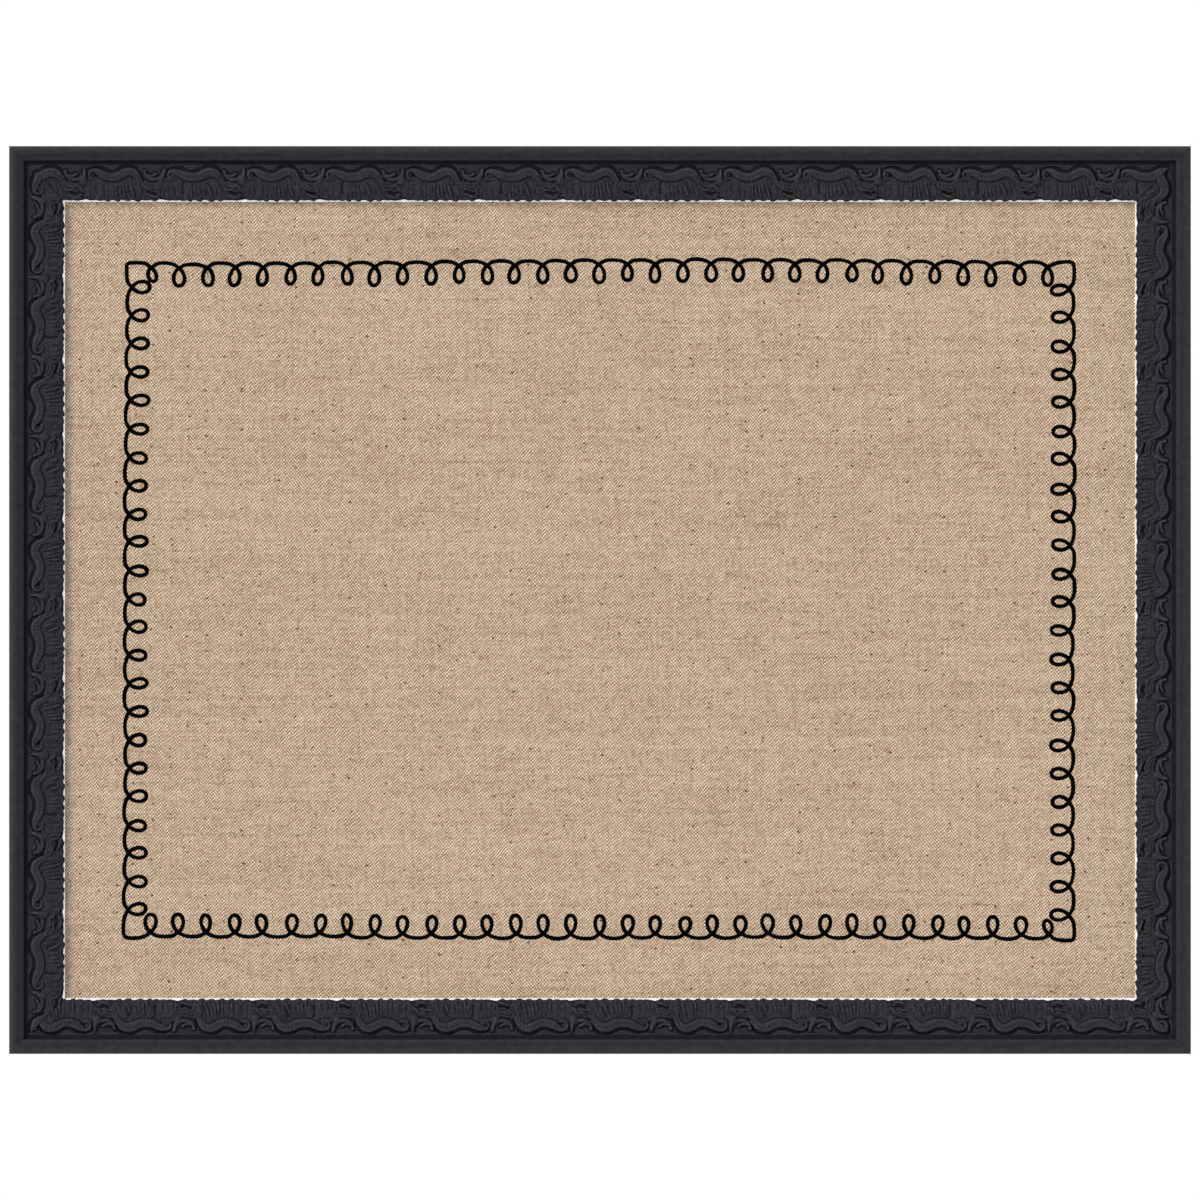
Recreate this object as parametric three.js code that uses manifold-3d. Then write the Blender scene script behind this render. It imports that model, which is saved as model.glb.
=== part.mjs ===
// A wall-hung pin board: a linen-covered cork panel in a mitred picture-frame moulding.
// Millimetres. X runs to the right, Y into the wall and Z up, so the front faces -Y.
// The origin is in the middle of the top rail's back face, which lies to the wall.
import * as THREE from "three";
import { mergeVertices } from "three/addons/utils/BufferGeometryUtils.js";
import Module from "manifold-3d";

const wasm = await Module();
wasm.setup();

// Pinning panel, measured over its linen cover.
const PANEL_WIDTH = 609.6;
const PANEL_HEIGHT = 457.2;
const PANEL_CLEARANCE = 0.8; // round the panel, to the rabbet wall
const LINEN_THICKNESS = 0.6;
const LINEN_TURN_IN = 25; // how far the cloth is folded over onto the back
const CORK_THICKNESS = 5;
const HARDBOARD_THICKNESS = 3;
const CORE_CLEARANCE = 0.1; // between the core's edges and the cloth round them

// Frame moulding section. Widths run inwards from the outer edge, heights forwards from the back.
const MOULDING_WIDTH = 30;
const RABBET_WIDTH = 6.9;
const RABBET_DEPTH = 15;
const EDGE_HEIGHT = 19.4;
const BAND_HEIGHT = 21.6;
const BAND_WIDTH = 8.3;
const BAND_EDGE_RADIUS = 2.6;
const BAND_FALL = 1.5; // how far the band drops towards the groove
const GROOVE_WIDTH = 2;
const GROOVE_HEIGHT = 17;
const FIELD_EDGE_HEIGHT = 18.4;
const FIELD_SWELL = 1.9; // how far the carved field bulges between its edges
const SIGHT_HEIGHT = 18.2;
const SIGHT_RADIUS = 1;
const MITRE_GLUE = 0.1; // thickness of the glue line in each corner
const CURVE_SEGMENTS = 7;

// White slip under the sight edge, seen as a thin line round the linen.
const SLIP_THICKNESS = 1.4;
const SLIP_REVEAL = 1;
const SLIP_CLEARANCE = 0.3; // to the rabbet wall

// V nails driven across each mitre from the back.
const NAIL_WING = 6;
const NAIL_THICKNESS = 0.5;
const NAIL_HEIGHT = 8;
const NAIL_RECESS = 0.3;
const NAIL_DEPTH_SHARES = [0.3, 0.7]; // places across the flat back, from the outer edge

// Staples that hold the folded linen.
const STAPLE_CROWN = 10;
const STAPLE_WIRE_WIDTH = 0.9;
const STAPLE_WIRE_THICKNESS = 0.5;
const STAPLE_LEG = 6;
const STAPLE_INSET = 19; // from the panel's edge
const STAPLES_ACROSS = 6;
const STAPLES_UP = 4;

// Flexible framer's points that hold the panel in the rabbet.
const POINT_LENGTH = 22;
const POINT_BITE = 8; // the length driven into the moulding
const POINT_WIDTH = 6;
const POINT_THICKNESS = 0.4;
const POINTS_ACROSS = 4;
const POINTS_UP = 2;

const POCKET_CLEARANCE = 0.15; // all round a nail, point or staple leg

// Hangers: a folded steel strap that a D-ring turns in.
const HANGER_DROP = 120; // from the frame's top to the ring's pivot
const STRAP_WIDTH = 11;
const STRAP_THICKNESS = 1.6;
const STRAP_HOLE_DROP = 19.5; // from the pivot to the screw hole
const STRAP_HOLE_RADIUS = 2.1;
const SHEET_THICKNESS = 0.8;
const RING_WIRE_RADIUS = 1.1;
const RING_HALF_WIDTH = 9;
const RING_LEG = 4; // from the pivot to where the round part starts
const RING_CORNER_RADIUS = 2;
const PIVOT_CLEARANCE = 0.25;
const RING_REST_GAP = 0.3; // to the strap when the ring hangs down on it
const ROUND_SEGMENTS = 20;
const WIRE_SIDES = 10;
const RING_ARC_STEPS = 20;
const RING_CORNER_STEPS = 4;

// Hanger screw: a pan head with a cross recess.
const SCREW_HEAD_RADIUS = 3.5;
const SCREW_HEAD_HEIGHT = 2.2;
const SCREW_SHANK_RADIUS = 1.8;
const SCREW_LENGTH = 12;
const SCREW_TIP = 2.5;
const SCREW_RECESS_LENGTH = 3.6;
const SCREW_RECESS_WIDTH = 0.9;
const SCREW_RECESS_DEPTH = 1.2;
const PILOT_CLEARANCE = 0.2;

// Soft bumpers that keep the bottom rail off the wall.
const BUMPER_RADIUS = 6;
const BUMPER_HEIGHT = 4.5; // more than the hangers, so that nothing metal rubs the wall
const BUMPER_INSET = 35; // from the frame's side
const BUMPER_RINGS = 5;

const CUT_OVERRUN = 1; // how far a cutting shape runs past what it cuts
const WELD_DISTANCE = 0.0001; // corners closer than this become one

// Sizes and places worked out from the ones above.
const BACK_WIDTH = MOULDING_WIDTH - RABBET_WIDTH;
const FRAME_WIDTH = PANEL_WIDTH + 2 * (PANEL_CLEARANCE + BACK_WIDTH);
const FRAME_HEIGHT = PANEL_HEIGHT + 2 * (PANEL_CLEARANCE + BACK_WIDTH);
const TOP_Z = BACK_WIDTH / 2;
const CENTRE_Z = TOP_Z - FRAME_HEIGHT / 2;
const PANEL_FRONT = -(RABBET_DEPTH - SLIP_THICKNESS);
const CORE_FRONT = PANEL_FRONT + LINEN_THICKNESS;
const CORK_BACK = CORE_FRONT + CORK_THICKNESS;
const CORE_BACK = CORK_BACK + HARDBOARD_THICKNESS;
const PANEL_BACK = CORE_BACK + LINEN_THICKNESS;
const CORE_WIDTH = PANEL_WIDTH - 2 * (LINEN_THICKNESS + CORE_CLEARANCE);
const CORE_HEIGHT = PANEL_HEIGHT - 2 * (LINEN_THICKNESS + CORE_CLEARANCE);
const BARREL_RADIUS = RING_WIRE_RADIUS + PIVOT_CLEARANCE + SHEET_THICKNESS;
const PIVOT_Y = BARREL_RADIUS;
const HANGER_X = FRAME_WIDTH / 2 - BACK_WIDTH / 2;
const HANGER_Z = TOP_Z - HANGER_DROP;

const finish = (color, roughness, metalness = 0) =>
  new THREE.MeshStandardMaterial({ color, roughness, metalness });
const materials = {
  moulding: finish(0x2d2e31, 0.5),
  slip: finish(0xf4f3ef, 0.8),
  linen: finish(0xbfa790, 0.95),
  cork: finish(0xb98a58, 0.9),
  hardboard: finish(0x6f4b2f, 0.75),
  steel: finish(0xb9bcc0, 0.35, 1),
  bumper: finish(0xd8dad8, 0.4),
};

// A closed geometry as a solid that can be cut or joined.
function solidOf(geometry) {
  const bare = geometry.index ? geometry.toNonIndexed() : geometry.clone();
  bare.deleteAttribute("normal");
  bare.deleteAttribute("uv");
  const merged = mergeVertices(bare, WELD_DISTANCE);
  return new wasm.Manifold(
    new wasm.Mesh({
      numProp: 3,
      vertProperties: merged.attributes.position.array,
      triVerts: new Uint32Array(merged.index.array),
    }),
  );
}

function geometryOf(solid) {
  const mesh = solid.getMesh();
  const geometry = new THREE.BufferGeometry();
  geometry.setAttribute("position", new THREE.BufferAttribute(mesh.vertProperties, 3));
  geometry.setIndex(new THREE.BufferAttribute(mesh.triVerts, 1));
  const faceted = geometry.toNonIndexed();
  faceted.computeVertexNormals();
  return faceted;
}

function cut(geometry, cutters) {
  return geometryOf(cutters.reduce((body, cutter) => body.subtract(solidOf(cutter)), solidOf(geometry)));
}

function named(name, geometry, material) {
  const mesh = new THREE.Mesh(geometry, material);
  mesh.name = name;
  return mesh;
}

// A block given by its lowest and highest corners.
function block(low, high) {
  const size = high.map((value, i) => value - low[i]);
  const centre = high.map((value, i) => (value + low[i]) / 2);
  return new THREE.BoxGeometry(...size).translate(...centre);
}

// An outline in X and Z, given thickness from its back face at y towards the front.
function plate(outline, thickness, y = 0) {
  const flat = new THREE.ExtrudeGeometry(outline, {
    depth: thickness,
    bevelEnabled: false,
    curveSegments: ROUND_SEGMENTS,
  });
  return flat.rotateX(Math.PI / 2).translate(0, y, 0);
}

// The four sides of the frame. Each has the direction that leads from its outer edge to the panel.
const SIDES = {
  top: { inward: new THREE.Vector3(0, 0, -1), length: FRAME_WIDTH, reach: FRAME_HEIGHT / 2 },
  bottom: { inward: new THREE.Vector3(0, 0, 1), length: FRAME_WIDTH, reach: FRAME_HEIGHT / 2 },
  left: { inward: new THREE.Vector3(1, 0, 0), length: FRAME_HEIGHT, reach: FRAME_WIDTH / 2 },
  right: { inward: new THREE.Vector3(-1, 0, 0), length: FRAME_HEIGHT, reach: FRAME_WIDTH / 2 },
};
const FORWARD = new THREE.Vector3(0, -1, 0);

// Turns a point given as (inwards from the outer edge, forwards from the back, along the side) into
// the part's frame.
function sidePoint(side, across, forward, along) {
  const run = new THREE.Vector3().crossVectors(side.inward, FORWARD);
  return new THREE.Vector3(0, 0, CENTRE_Z)
    .addScaledVector(side.inward, across - side.reach)
    .addScaledVector(FORWARD, forward)
    .addScaledVector(run, along);
}

// A length of the given section along one side, mitred at both ends.
function mitredLength(section, side) {
  const geometry = new THREE.ExtrudeGeometry(section, {
    depth: 1,
    bevelEnabled: false,
    curveSegments: CURVE_SEGMENTS,
  });
  const position = geometry.attributes.position;
  const setback = MITRE_GLUE / Math.SQRT2;
  for (let i = 0; i < position.count; i++) {
    const across = position.getX(i);
    const halfLength = side.length / 2 - across - setback;
    const along = position.getZ(i) > 0 ? halfLength : -halfLength;
    const point = sidePoint(side, across, position.getY(i), along);
    position.setXYZ(i, point.x, point.y, point.z);
  }
  geometry.computeVertexNormals();
  return geometry;
}

function mouldingSection() {
  const fieldStart = BAND_WIDTH + GROOVE_WIDTH;
  const sightStart = MOULDING_WIDTH - SIGHT_RADIUS;
  const section = new THREE.Shape();
  section.moveTo(0, 0);
  section.lineTo(0, EDGE_HEIGHT);
  section.quadraticCurveTo(0, BAND_HEIGHT, BAND_EDGE_RADIUS, BAND_HEIGHT);
  section.quadraticCurveTo(BAND_WIDTH, BAND_HEIGHT, BAND_WIDTH, BAND_HEIGHT - BAND_FALL);
  section.lineTo(BAND_WIDTH, GROOVE_HEIGHT);
  section.lineTo(fieldStart, GROOVE_HEIGHT);
  section.lineTo(fieldStart, FIELD_EDGE_HEIGHT);
  section.quadraticCurveTo(
    (fieldStart + sightStart) / 2,
    FIELD_EDGE_HEIGHT + 2 * FIELD_SWELL,
    sightStart,
    SIGHT_HEIGHT,
  );
  const sightFront = SIGHT_HEIGHT - SIGHT_RADIUS;
  section.quadraticCurveTo(MOULDING_WIDTH, SIGHT_HEIGHT, MOULDING_WIDTH, sightFront);
  section.lineTo(MOULDING_WIDTH, RABBET_DEPTH);
  section.lineTo(BACK_WIDTH, RABBET_DEPTH);
  section.lineTo(BACK_WIDTH, 0);
  section.closePath();
  return section;
}

function slipSection() {
  const outer = BACK_WIDTH + SLIP_CLEARANCE;
  const inner = MOULDING_WIDTH + SLIP_REVEAL;
  const section = new THREE.Shape();
  section.moveTo(outer, RABBET_DEPTH - SLIP_THICKNESS);
  section.lineTo(outer, RABBET_DEPTH);
  section.lineTo(inner, RABBET_DEPTH);
  section.lineTo(inner, RABBET_DEPTH - SLIP_THICKNESS);
  section.closePath();
  return section;
}

// A V nail at one corner, its point on the mitre and a wing in each rail. A room over zero turns
// it into the shape of its pocket.
function vNail(signX, signZ, share, room) {
  const depth = BACK_WIDTH * share;
  const half = NAIL_THICKNESS / 2 + room;
  const wing = NAIL_WING + room;
  const outline = new THREE.Shape(
    [
      [half, half],
      [-wing, half],
      [-wing, -half],
      [-half, -half],
      [-half, -wing],
      [half, -wing],
    ].map(
      ([x, z]) =>
        new THREE.Vector2(
          signX * (FRAME_WIDTH / 2 - depth + x),
          CENTRE_Z + signZ * (FRAME_HEIGHT / 2 - depth + z),
        ),
    ),
  );
  const openEnd = room > 0 ? CUT_OVERRUN : -NAIL_RECESS;
  return plate(outline, openEnd + NAIL_RECESS + NAIL_HEIGHT + room, openEnd);
}

// A framer's point, partly in the moulding and partly over the panel's back. A room over zero
// turns it into the shape of its slot.
function framersPoint(side, along, room) {
  const start = BACK_WIDTH - POINT_BITE - room;
  const end = start + POINT_LENGTH + room;
  const halfWidth = POINT_WIDTH / 2 + room;
  const corners = [
    sidePoint(side, start, -PANEL_BACK - POINT_THICKNESS - room, along - halfWidth),
    sidePoint(side, end, -PANEL_BACK + room, along + halfWidth),
  ];
  const low = corners[0].clone().min(corners[1]);
  const high = corners[0].clone().max(corners[1]);
  return block(low.toArray(), high.toArray());
}

// Even places along a length, with half a spacing at each end.
function places(count, length) {
  return Array.from({ length: count }, (_, i) => ((i + 0.5) / count - 0.5) * length);
}

function pointPlaces(sideName) {
  const across = sideName === "top" || sideName === "bottom";
  return across ? places(POINTS_ACROSS, PANEL_WIDTH) : places(POINTS_UP, PANEL_HEIGHT);
}

const CORNERS = [
  ["top_left", -1, 1],
  ["top_right", 1, 1],
  ["bottom_left", -1, -1],
  ["bottom_right", 1, -1],
];

function nails() {
  const group = new THREE.Group();
  for (const [corner, signX, signZ] of CORNERS) {
    NAIL_DEPTH_SHARES.forEach((share, i) => {
      const name = `v_nail_${corner}_${i + 1}`;
      group.add(named(name, vNail(signX, signZ, share, 0), materials.steel));
    });
  }
  return group;
}

function framersPoints() {
  const group = new THREE.Group();
  for (const [sideName, side] of Object.entries(SIDES)) {
    pointPlaces(sideName).forEach((along, i) => {
      const name = `framers_point_${sideName}_${i + 1}`;
      group.add(named(name, framersPoint(side, along, 0), materials.steel));
    });
  }
  return group;
}

function rails() {
  const group = new THREE.Group();
  const section = mouldingSection();
  const nailPockets = CORNERS.flatMap(([, signX, signZ]) =>
    NAIL_DEPTH_SHARES.map((share) => vNail(signX, signZ, share, POCKET_CLEARANCE)),
  );
  const names = { top: "top_rail", bottom: "bottom_rail", left: "left_stile", right: "right_stile" };
  for (const [sideName, side] of Object.entries(SIDES)) {
    const slots = pointPlaces(sideName).map((along) => framersPoint(side, along, POCKET_CLEARANCE));
    const pilots = { left: [pilotHole(-1)], right: [pilotHole(1)] }[sideName] ?? [];
    const body = cut(mitredLength(section, side), [...nailPockets, ...slots, ...pilots]);
    group.add(named(names[sideName], body, materials.moulding));
  }
  return group;
}

function slips() {
  const group = new THREE.Group();
  for (const [sideName, side] of Object.entries(SIDES)) {
    group.add(named(`slip_${sideName}`, mitredLength(slipSection(), side), materials.slip));
  }
  return group;
}

// Where each staple sits on the panel's back, and whether its crown runs across or up.
function staplePlaces() {
  const rowZ = PANEL_HEIGHT / 2 - STAPLE_INSET;
  const columnX = PANEL_WIDTH / 2 - STAPLE_INSET;
  const across = places(STAPLES_ACROSS, PANEL_WIDTH).flatMap((x, i) => [
    { name: `staple_top_${i + 1}`, x, z: CENTRE_Z + rowZ, upright: false },
    { name: `staple_bottom_${i + 1}`, x, z: CENTRE_Z - rowZ, upright: false },
  ]);
  const up = places(STAPLES_UP, PANEL_HEIGHT - 2 * STAPLE_INSET).flatMap((z, i) => [
    { name: `staple_left_${i + 1}`, x: -columnX, z: CENTRE_Z + z, upright: true },
    { name: `staple_right_${i + 1}`, x: columnX, z: CENTRE_Z + z, upright: true },
  ]);
  return [...across, ...up];
}

function stapleGeometry() {
  const half = STAPLE_CROWN / 2;
  const leg = half - STAPLE_WIRE_THICKNESS;
  const outline = new THREE.Shape(
    [
      [-half, STAPLE_WIRE_THICKNESS],
      [-half, -STAPLE_LEG],
      [-leg, -STAPLE_LEG],
      [-leg, 0],
      [leg, 0],
      [leg, -STAPLE_LEG],
      [half, -STAPLE_LEG],
      [half, STAPLE_WIRE_THICKNESS],
    ].map(([x, y]) => new THREE.Vector2(x, y)),
  );
  const wire = new THREE.ExtrudeGeometry(outline, { depth: STAPLE_WIRE_WIDTH, bevelEnabled: false });
  return wire.translate(0, 0, -STAPLE_WIRE_WIDTH / 2);
}

function staples() {
  const group = new THREE.Group();
  const geometry = stapleGeometry();
  for (const { name, x, z, upright } of staplePlaces()) {
    const staple = named(name, geometry, materials.steel);
    staple.position.set(x, PANEL_BACK, z);
    staple.rotation.y = upright ? Math.PI / 2 : 0;
    group.add(staple);
  }
  return group;
}

// The two pockets that a staple's legs make in the cloth and the core.
function legPockets({ x, z, upright }) {
  const legCentre = (STAPLE_CROWN - STAPLE_WIRE_THICKNESS) / 2;
  const along = STAPLE_WIRE_THICKNESS / 2 + POCKET_CLEARANCE;
  const aside = STAPLE_WIRE_WIDTH / 2 + POCKET_CLEARANCE;
  const [halfX, halfZ] = upright ? [aside, along] : [along, aside];
  return [-legCentre, legCentre].map((offset) => {
    const [legX, legZ] = upright ? [x, z + offset] : [x + offset, z];
    return block(
      [legX - halfX, PANEL_BACK - STAPLE_LEG - POCKET_CLEARANCE, legZ - halfZ],
      [legX + halfX, PANEL_BACK + CUT_OVERRUN, legZ + halfZ],
    );
  });
}

// A block centred on the panel, between two places in depth.
function panelBlock(width, height, front, back) {
  return block(
    [-width / 2, front, CENTRE_Z - height / 2],
    [width / 2, back, CENTRE_Z + height / 2],
  );
}

function panel() {
  const pockets = staplePlaces().flatMap(legPockets);
  const hollowWidth = PANEL_WIDTH - 2 * LINEN_THICKNESS;
  const hollowHeight = PANEL_HEIGHT - 2 * LINEN_THICKNESS;
  const windowWidth = PANEL_WIDTH - 2 * LINEN_TURN_IN;
  const windowHeight = PANEL_HEIGHT - 2 * LINEN_TURN_IN;
  const linen = cut(panelBlock(PANEL_WIDTH, PANEL_HEIGHT, PANEL_FRONT, PANEL_BACK), [
    panelBlock(hollowWidth, hollowHeight, CORE_FRONT, CORE_BACK),
    panelBlock(windowWidth, windowHeight, CORE_FRONT, PANEL_BACK + CUT_OVERRUN),
    ...pockets,
  ]);
  const cork = cut(panelBlock(CORE_WIDTH, CORE_HEIGHT, CORE_FRONT, CORK_BACK), pockets);
  const hardboard = cut(panelBlock(CORE_WIDTH, CORE_HEIGHT, CORK_BACK, CORE_BACK), pockets);
  const group = new THREE.Group();
  group.add(
    named("linen_cover", linen, materials.linen),
    named("cork_sheet", cork, materials.cork),
    named("hardboard_back", hardboard, materials.hardboard),
  );
  return group;
}

// The strap lies on the stile's back. Its folded end makes the barrel that the ring turns in.
function hangerStrap() {
  const halfWidth = STRAP_WIDTH / 2;
  const outline = new THREE.Shape();
  outline.moveTo(-halfWidth, 0);
  outline.lineTo(-halfWidth, -STRAP_HOLE_DROP);
  outline.absarc(0, -STRAP_HOLE_DROP, halfWidth, Math.PI, 2 * Math.PI);
  outline.lineTo(halfWidth, 0);
  outline.closePath();
  const hole = new THREE.Path().absarc(0, -STRAP_HOLE_DROP, STRAP_HOLE_RADIUS, 0, 2 * Math.PI);
  outline.holes.push(hole);
  const leaf = solidOf(plate(outline, STRAP_THICKNESS, STRAP_THICKNESS));
  const barrel = roundBar(BARREL_RADIUS, STRAP_WIDTH);
  const bore = roundBar(RING_WIRE_RADIUS + PIVOT_CLEARANCE, STRAP_WIDTH + 2 * CUT_OVERRUN);
  return geometryOf(leaf.add(solidOf(barrel)).subtract(solidOf(bore)));
}

// A round bar along X, centred on the ring's pivot.
function roundBar(radius, length) {
  const bar = new THREE.CylinderGeometry(radius, radius, length, ROUND_SEGMENTS);
  return bar.rotateZ(Math.PI / 2).translate(0, PIVOT_Y, 0);
}

// The centre line of the D-ring in its own plane: the pivot bar lies on the X axis.
function ringLine() {
  const line = [];
  const corner = RING_CORNER_RADIUS;
  const arc = (centreX, centreZ, radius, from, to, steps) => {
    for (let i = 0; i <= steps; i++) {
      const angle = from + ((to - from) * i) / steps;
      line.push([centreX + radius * Math.cos(angle), centreZ + radius * Math.sin(angle)]);
    }
  };
  const quarter = Math.PI / 2;
  arc(RING_HALF_WIDTH - corner, -corner, corner, quarter, 0, RING_CORNER_STEPS);
  arc(0, -RING_LEG, RING_HALF_WIDTH, 0, -2 * quarter, RING_ARC_STEPS);
  arc(corner - RING_HALF_WIDTH, -corner, corner, 2 * quarter, quarter, RING_CORNER_STEPS);
  return line;
}

// A wire swept round a closed flat line. The line lies in X and Z, and the wire keeps one roundness.
function closedWire(line, radius) {
  const count = line.length;
  const positions = [];
  const index = [];
  line.forEach(([x, z], i) => {
    const [beforeX, beforeZ] = line[(i + count - 1) % count];
    const [afterX, afterZ] = line[(i + 1) % count];
    const before = new THREE.Vector2(x - beforeX, z - beforeZ).normalize();
    const after = new THREE.Vector2(afterX - x, afterZ - z).normalize();
    const tangent = before.clone().add(after).normalize();
    const stretch = 1 / tangent.dot(after);
    for (let side = 0; side < WIRE_SIDES; side++) {
      const angle = (2 * Math.PI * side) / WIRE_SIDES;
      const outward = radius * stretch * Math.cos(angle);
      positions.push(x - tangent.y * outward, radius * Math.sin(angle), z + tangent.x * outward);
    }
  });
  for (let i = 0; i < count; i++) {
    const next = (i + 1) % count;
    for (let side = 0; side < WIRE_SIDES; side++) {
      const turn = (side + 1) % WIRE_SIDES;
      const [a, b] = [i * WIRE_SIDES + side, i * WIRE_SIDES + turn];
      const [c, d] = [next * WIRE_SIDES + side, next * WIRE_SIDES + turn];
      index.push(a, d, b, a, c, d);
    }
  }
  const wire = new THREE.BufferGeometry();
  wire.setAttribute("position", new THREE.Float32BufferAttribute(positions, 3));
  wire.setIndex(index);
  wire.computeVertexNormals();
  return wire;
}

// The free ring hangs down and rests on its strap, so it stands off by this small angle.
function ringRestAngle() {
  const rise = STRAP_THICKNESS + RING_REST_GAP + RING_WIRE_RADIUS - PIVOT_Y;
  const strapEdge = STRAP_WIDTH / 2;
  const reach = RING_LEG + Math.sqrt(RING_HALF_WIDTH ** 2 - strapEdge ** 2);
  return Math.asin(rise / reach);
}

function screwGeometry() {
  const domeStart = SCREW_HEAD_HEIGHT / 2;
  const profile = [
    [0, -SCREW_LENGTH],
    [SCREW_SHANK_RADIUS, SCREW_TIP - SCREW_LENGTH],
    [SCREW_SHANK_RADIUS, 0],
    [SCREW_HEAD_RADIUS, 0],
    [SCREW_HEAD_RADIUS, domeStart],
    [SCREW_HEAD_RADIUS - domeStart / 2, SCREW_HEAD_HEIGHT - domeStart / 4],
    [SCREW_HEAD_RADIUS - domeStart, SCREW_HEAD_HEIGHT],
    [0, SCREW_HEAD_HEIGHT],
  ].map(([x, y]) => new THREE.Vector2(x, y));
  const body = new THREE.LatheGeometry(profile, ROUND_SEGMENTS);
  const half = SCREW_RECESS_LENGTH / 2;
  const halfWidth = SCREW_RECESS_WIDTH / 2;
  const floor = SCREW_HEAD_HEIGHT - SCREW_RECESS_DEPTH;
  const top = SCREW_HEAD_HEIGHT + CUT_OVERRUN;
  return cut(body, [
    block([-half, floor, -halfWidth], [half, top, halfWidth]),
    block([-halfWidth, floor, -half], [halfWidth, top, half]),
  ]);
}

// The hole that a hanger's screw makes in its stile.
function pilotHole(signX) {
  const radius = SCREW_SHANK_RADIUS + PILOT_CLEARANCE;
  const depth = SCREW_LENGTH - STRAP_THICKNESS + PILOT_CLEARANCE;
  const hole = new THREE.CylinderGeometry(radius, radius, depth + CUT_OVERRUN, ROUND_SEGMENTS);
  const centreY = (CUT_OVERRUN - depth) / 2;
  return hole.translate(signX * HANGER_X, centreY, HANGER_Z - STRAP_HOLE_DROP);
}

function hanger(sideName, signX) {
  const group = new THREE.Group();
  group.position.set(signX * HANGER_X, 0, HANGER_Z);
  const strap = named(`${sideName}_hanger_strap`, hangerStrap(), materials.steel);
  const ring = named(`${sideName}_hanger_ring`, closedWire(ringLine(), RING_WIRE_RADIUS), materials.steel);
  ring.position.y = PIVOT_Y;
  ring.rotation.x = ringRestAngle();
  const screw = named(`${sideName}_hanger_screw`, screwGeometry(), materials.steel);
  screw.position.set(0, STRAP_THICKNESS, -STRAP_HOLE_DROP);
  group.add(strap, ring, screw);
  return group;
}

function bumper(sideName, signX) {
  const profile = [new THREE.Vector2(0, 0)];
  for (let i = 0; i <= BUMPER_RINGS; i++) {
    const angle = (Math.PI / 2) * (i / BUMPER_RINGS);
    profile.push(new THREE.Vector2(BUMPER_RADIUS * Math.cos(angle), BUMPER_HEIGHT * Math.sin(angle)));
  }
  profile.at(-1).x = 0;
  const mesh = named(
    `${sideName}_bumper`,
    new THREE.LatheGeometry(profile, ROUND_SEGMENTS),
    materials.bumper,
  );
  mesh.position.set(signX * (FRAME_WIDTH / 2 - BUMPER_INSET), 0, TOP_Z - FRAME_HEIGHT + BACK_WIDTH / 2);
  return mesh;
}

const pinBoard = new THREE.Group();
pinBoard.add(rails(), nails(), slips(), panel(), staples(), framersPoints());
pinBoard.add(hanger("left", -1), hanger("right", 1), bumper("left", -1), bumper("right", 1));

export default pinBoard;
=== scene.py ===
import math

import bmesh
import bpy
import numpy as np
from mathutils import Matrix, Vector


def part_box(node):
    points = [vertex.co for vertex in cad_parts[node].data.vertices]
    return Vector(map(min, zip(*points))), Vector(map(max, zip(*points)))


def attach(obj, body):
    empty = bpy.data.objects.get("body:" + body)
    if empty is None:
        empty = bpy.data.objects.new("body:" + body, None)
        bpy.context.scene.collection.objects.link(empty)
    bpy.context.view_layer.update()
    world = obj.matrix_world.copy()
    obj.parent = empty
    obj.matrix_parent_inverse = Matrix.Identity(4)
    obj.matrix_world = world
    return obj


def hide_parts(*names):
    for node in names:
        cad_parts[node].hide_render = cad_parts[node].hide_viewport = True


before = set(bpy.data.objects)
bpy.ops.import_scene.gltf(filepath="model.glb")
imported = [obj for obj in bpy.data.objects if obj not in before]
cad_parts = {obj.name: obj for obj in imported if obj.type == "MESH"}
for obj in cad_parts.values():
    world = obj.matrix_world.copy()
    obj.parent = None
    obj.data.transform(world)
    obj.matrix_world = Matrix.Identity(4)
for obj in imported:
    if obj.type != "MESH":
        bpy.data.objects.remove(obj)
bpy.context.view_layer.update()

MM = 0.001
SEED = 20

# The frame's own sizes, in metres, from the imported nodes.
rail_low, rail_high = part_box("top_rail")
bottom_low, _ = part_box("bottom_rail")
panel_low, panel_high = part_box("linen_cover")
_, hardboard_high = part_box("hardboard_back")

MOULDING_WIDTH = rail_high.z - rail_low.z
FRAME_WIDTH = rail_high.x - rail_low.x
FRAME_HEIGHT = rail_high.z - bottom_low.z
CENTRE_Z = (rail_high.z + bottom_low.z) / 2
MIDDLE = np.array([0, 0, CENTRE_Z])
LINEN_FRONT_Y = panel_low.y
LINEN_BACK_Y = panel_high.y
PANEL_HALF_WIDTH = panel_high.x
PANEL_HALF_HEIGHT = (panel_high.z - panel_low.z) / 2


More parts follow.
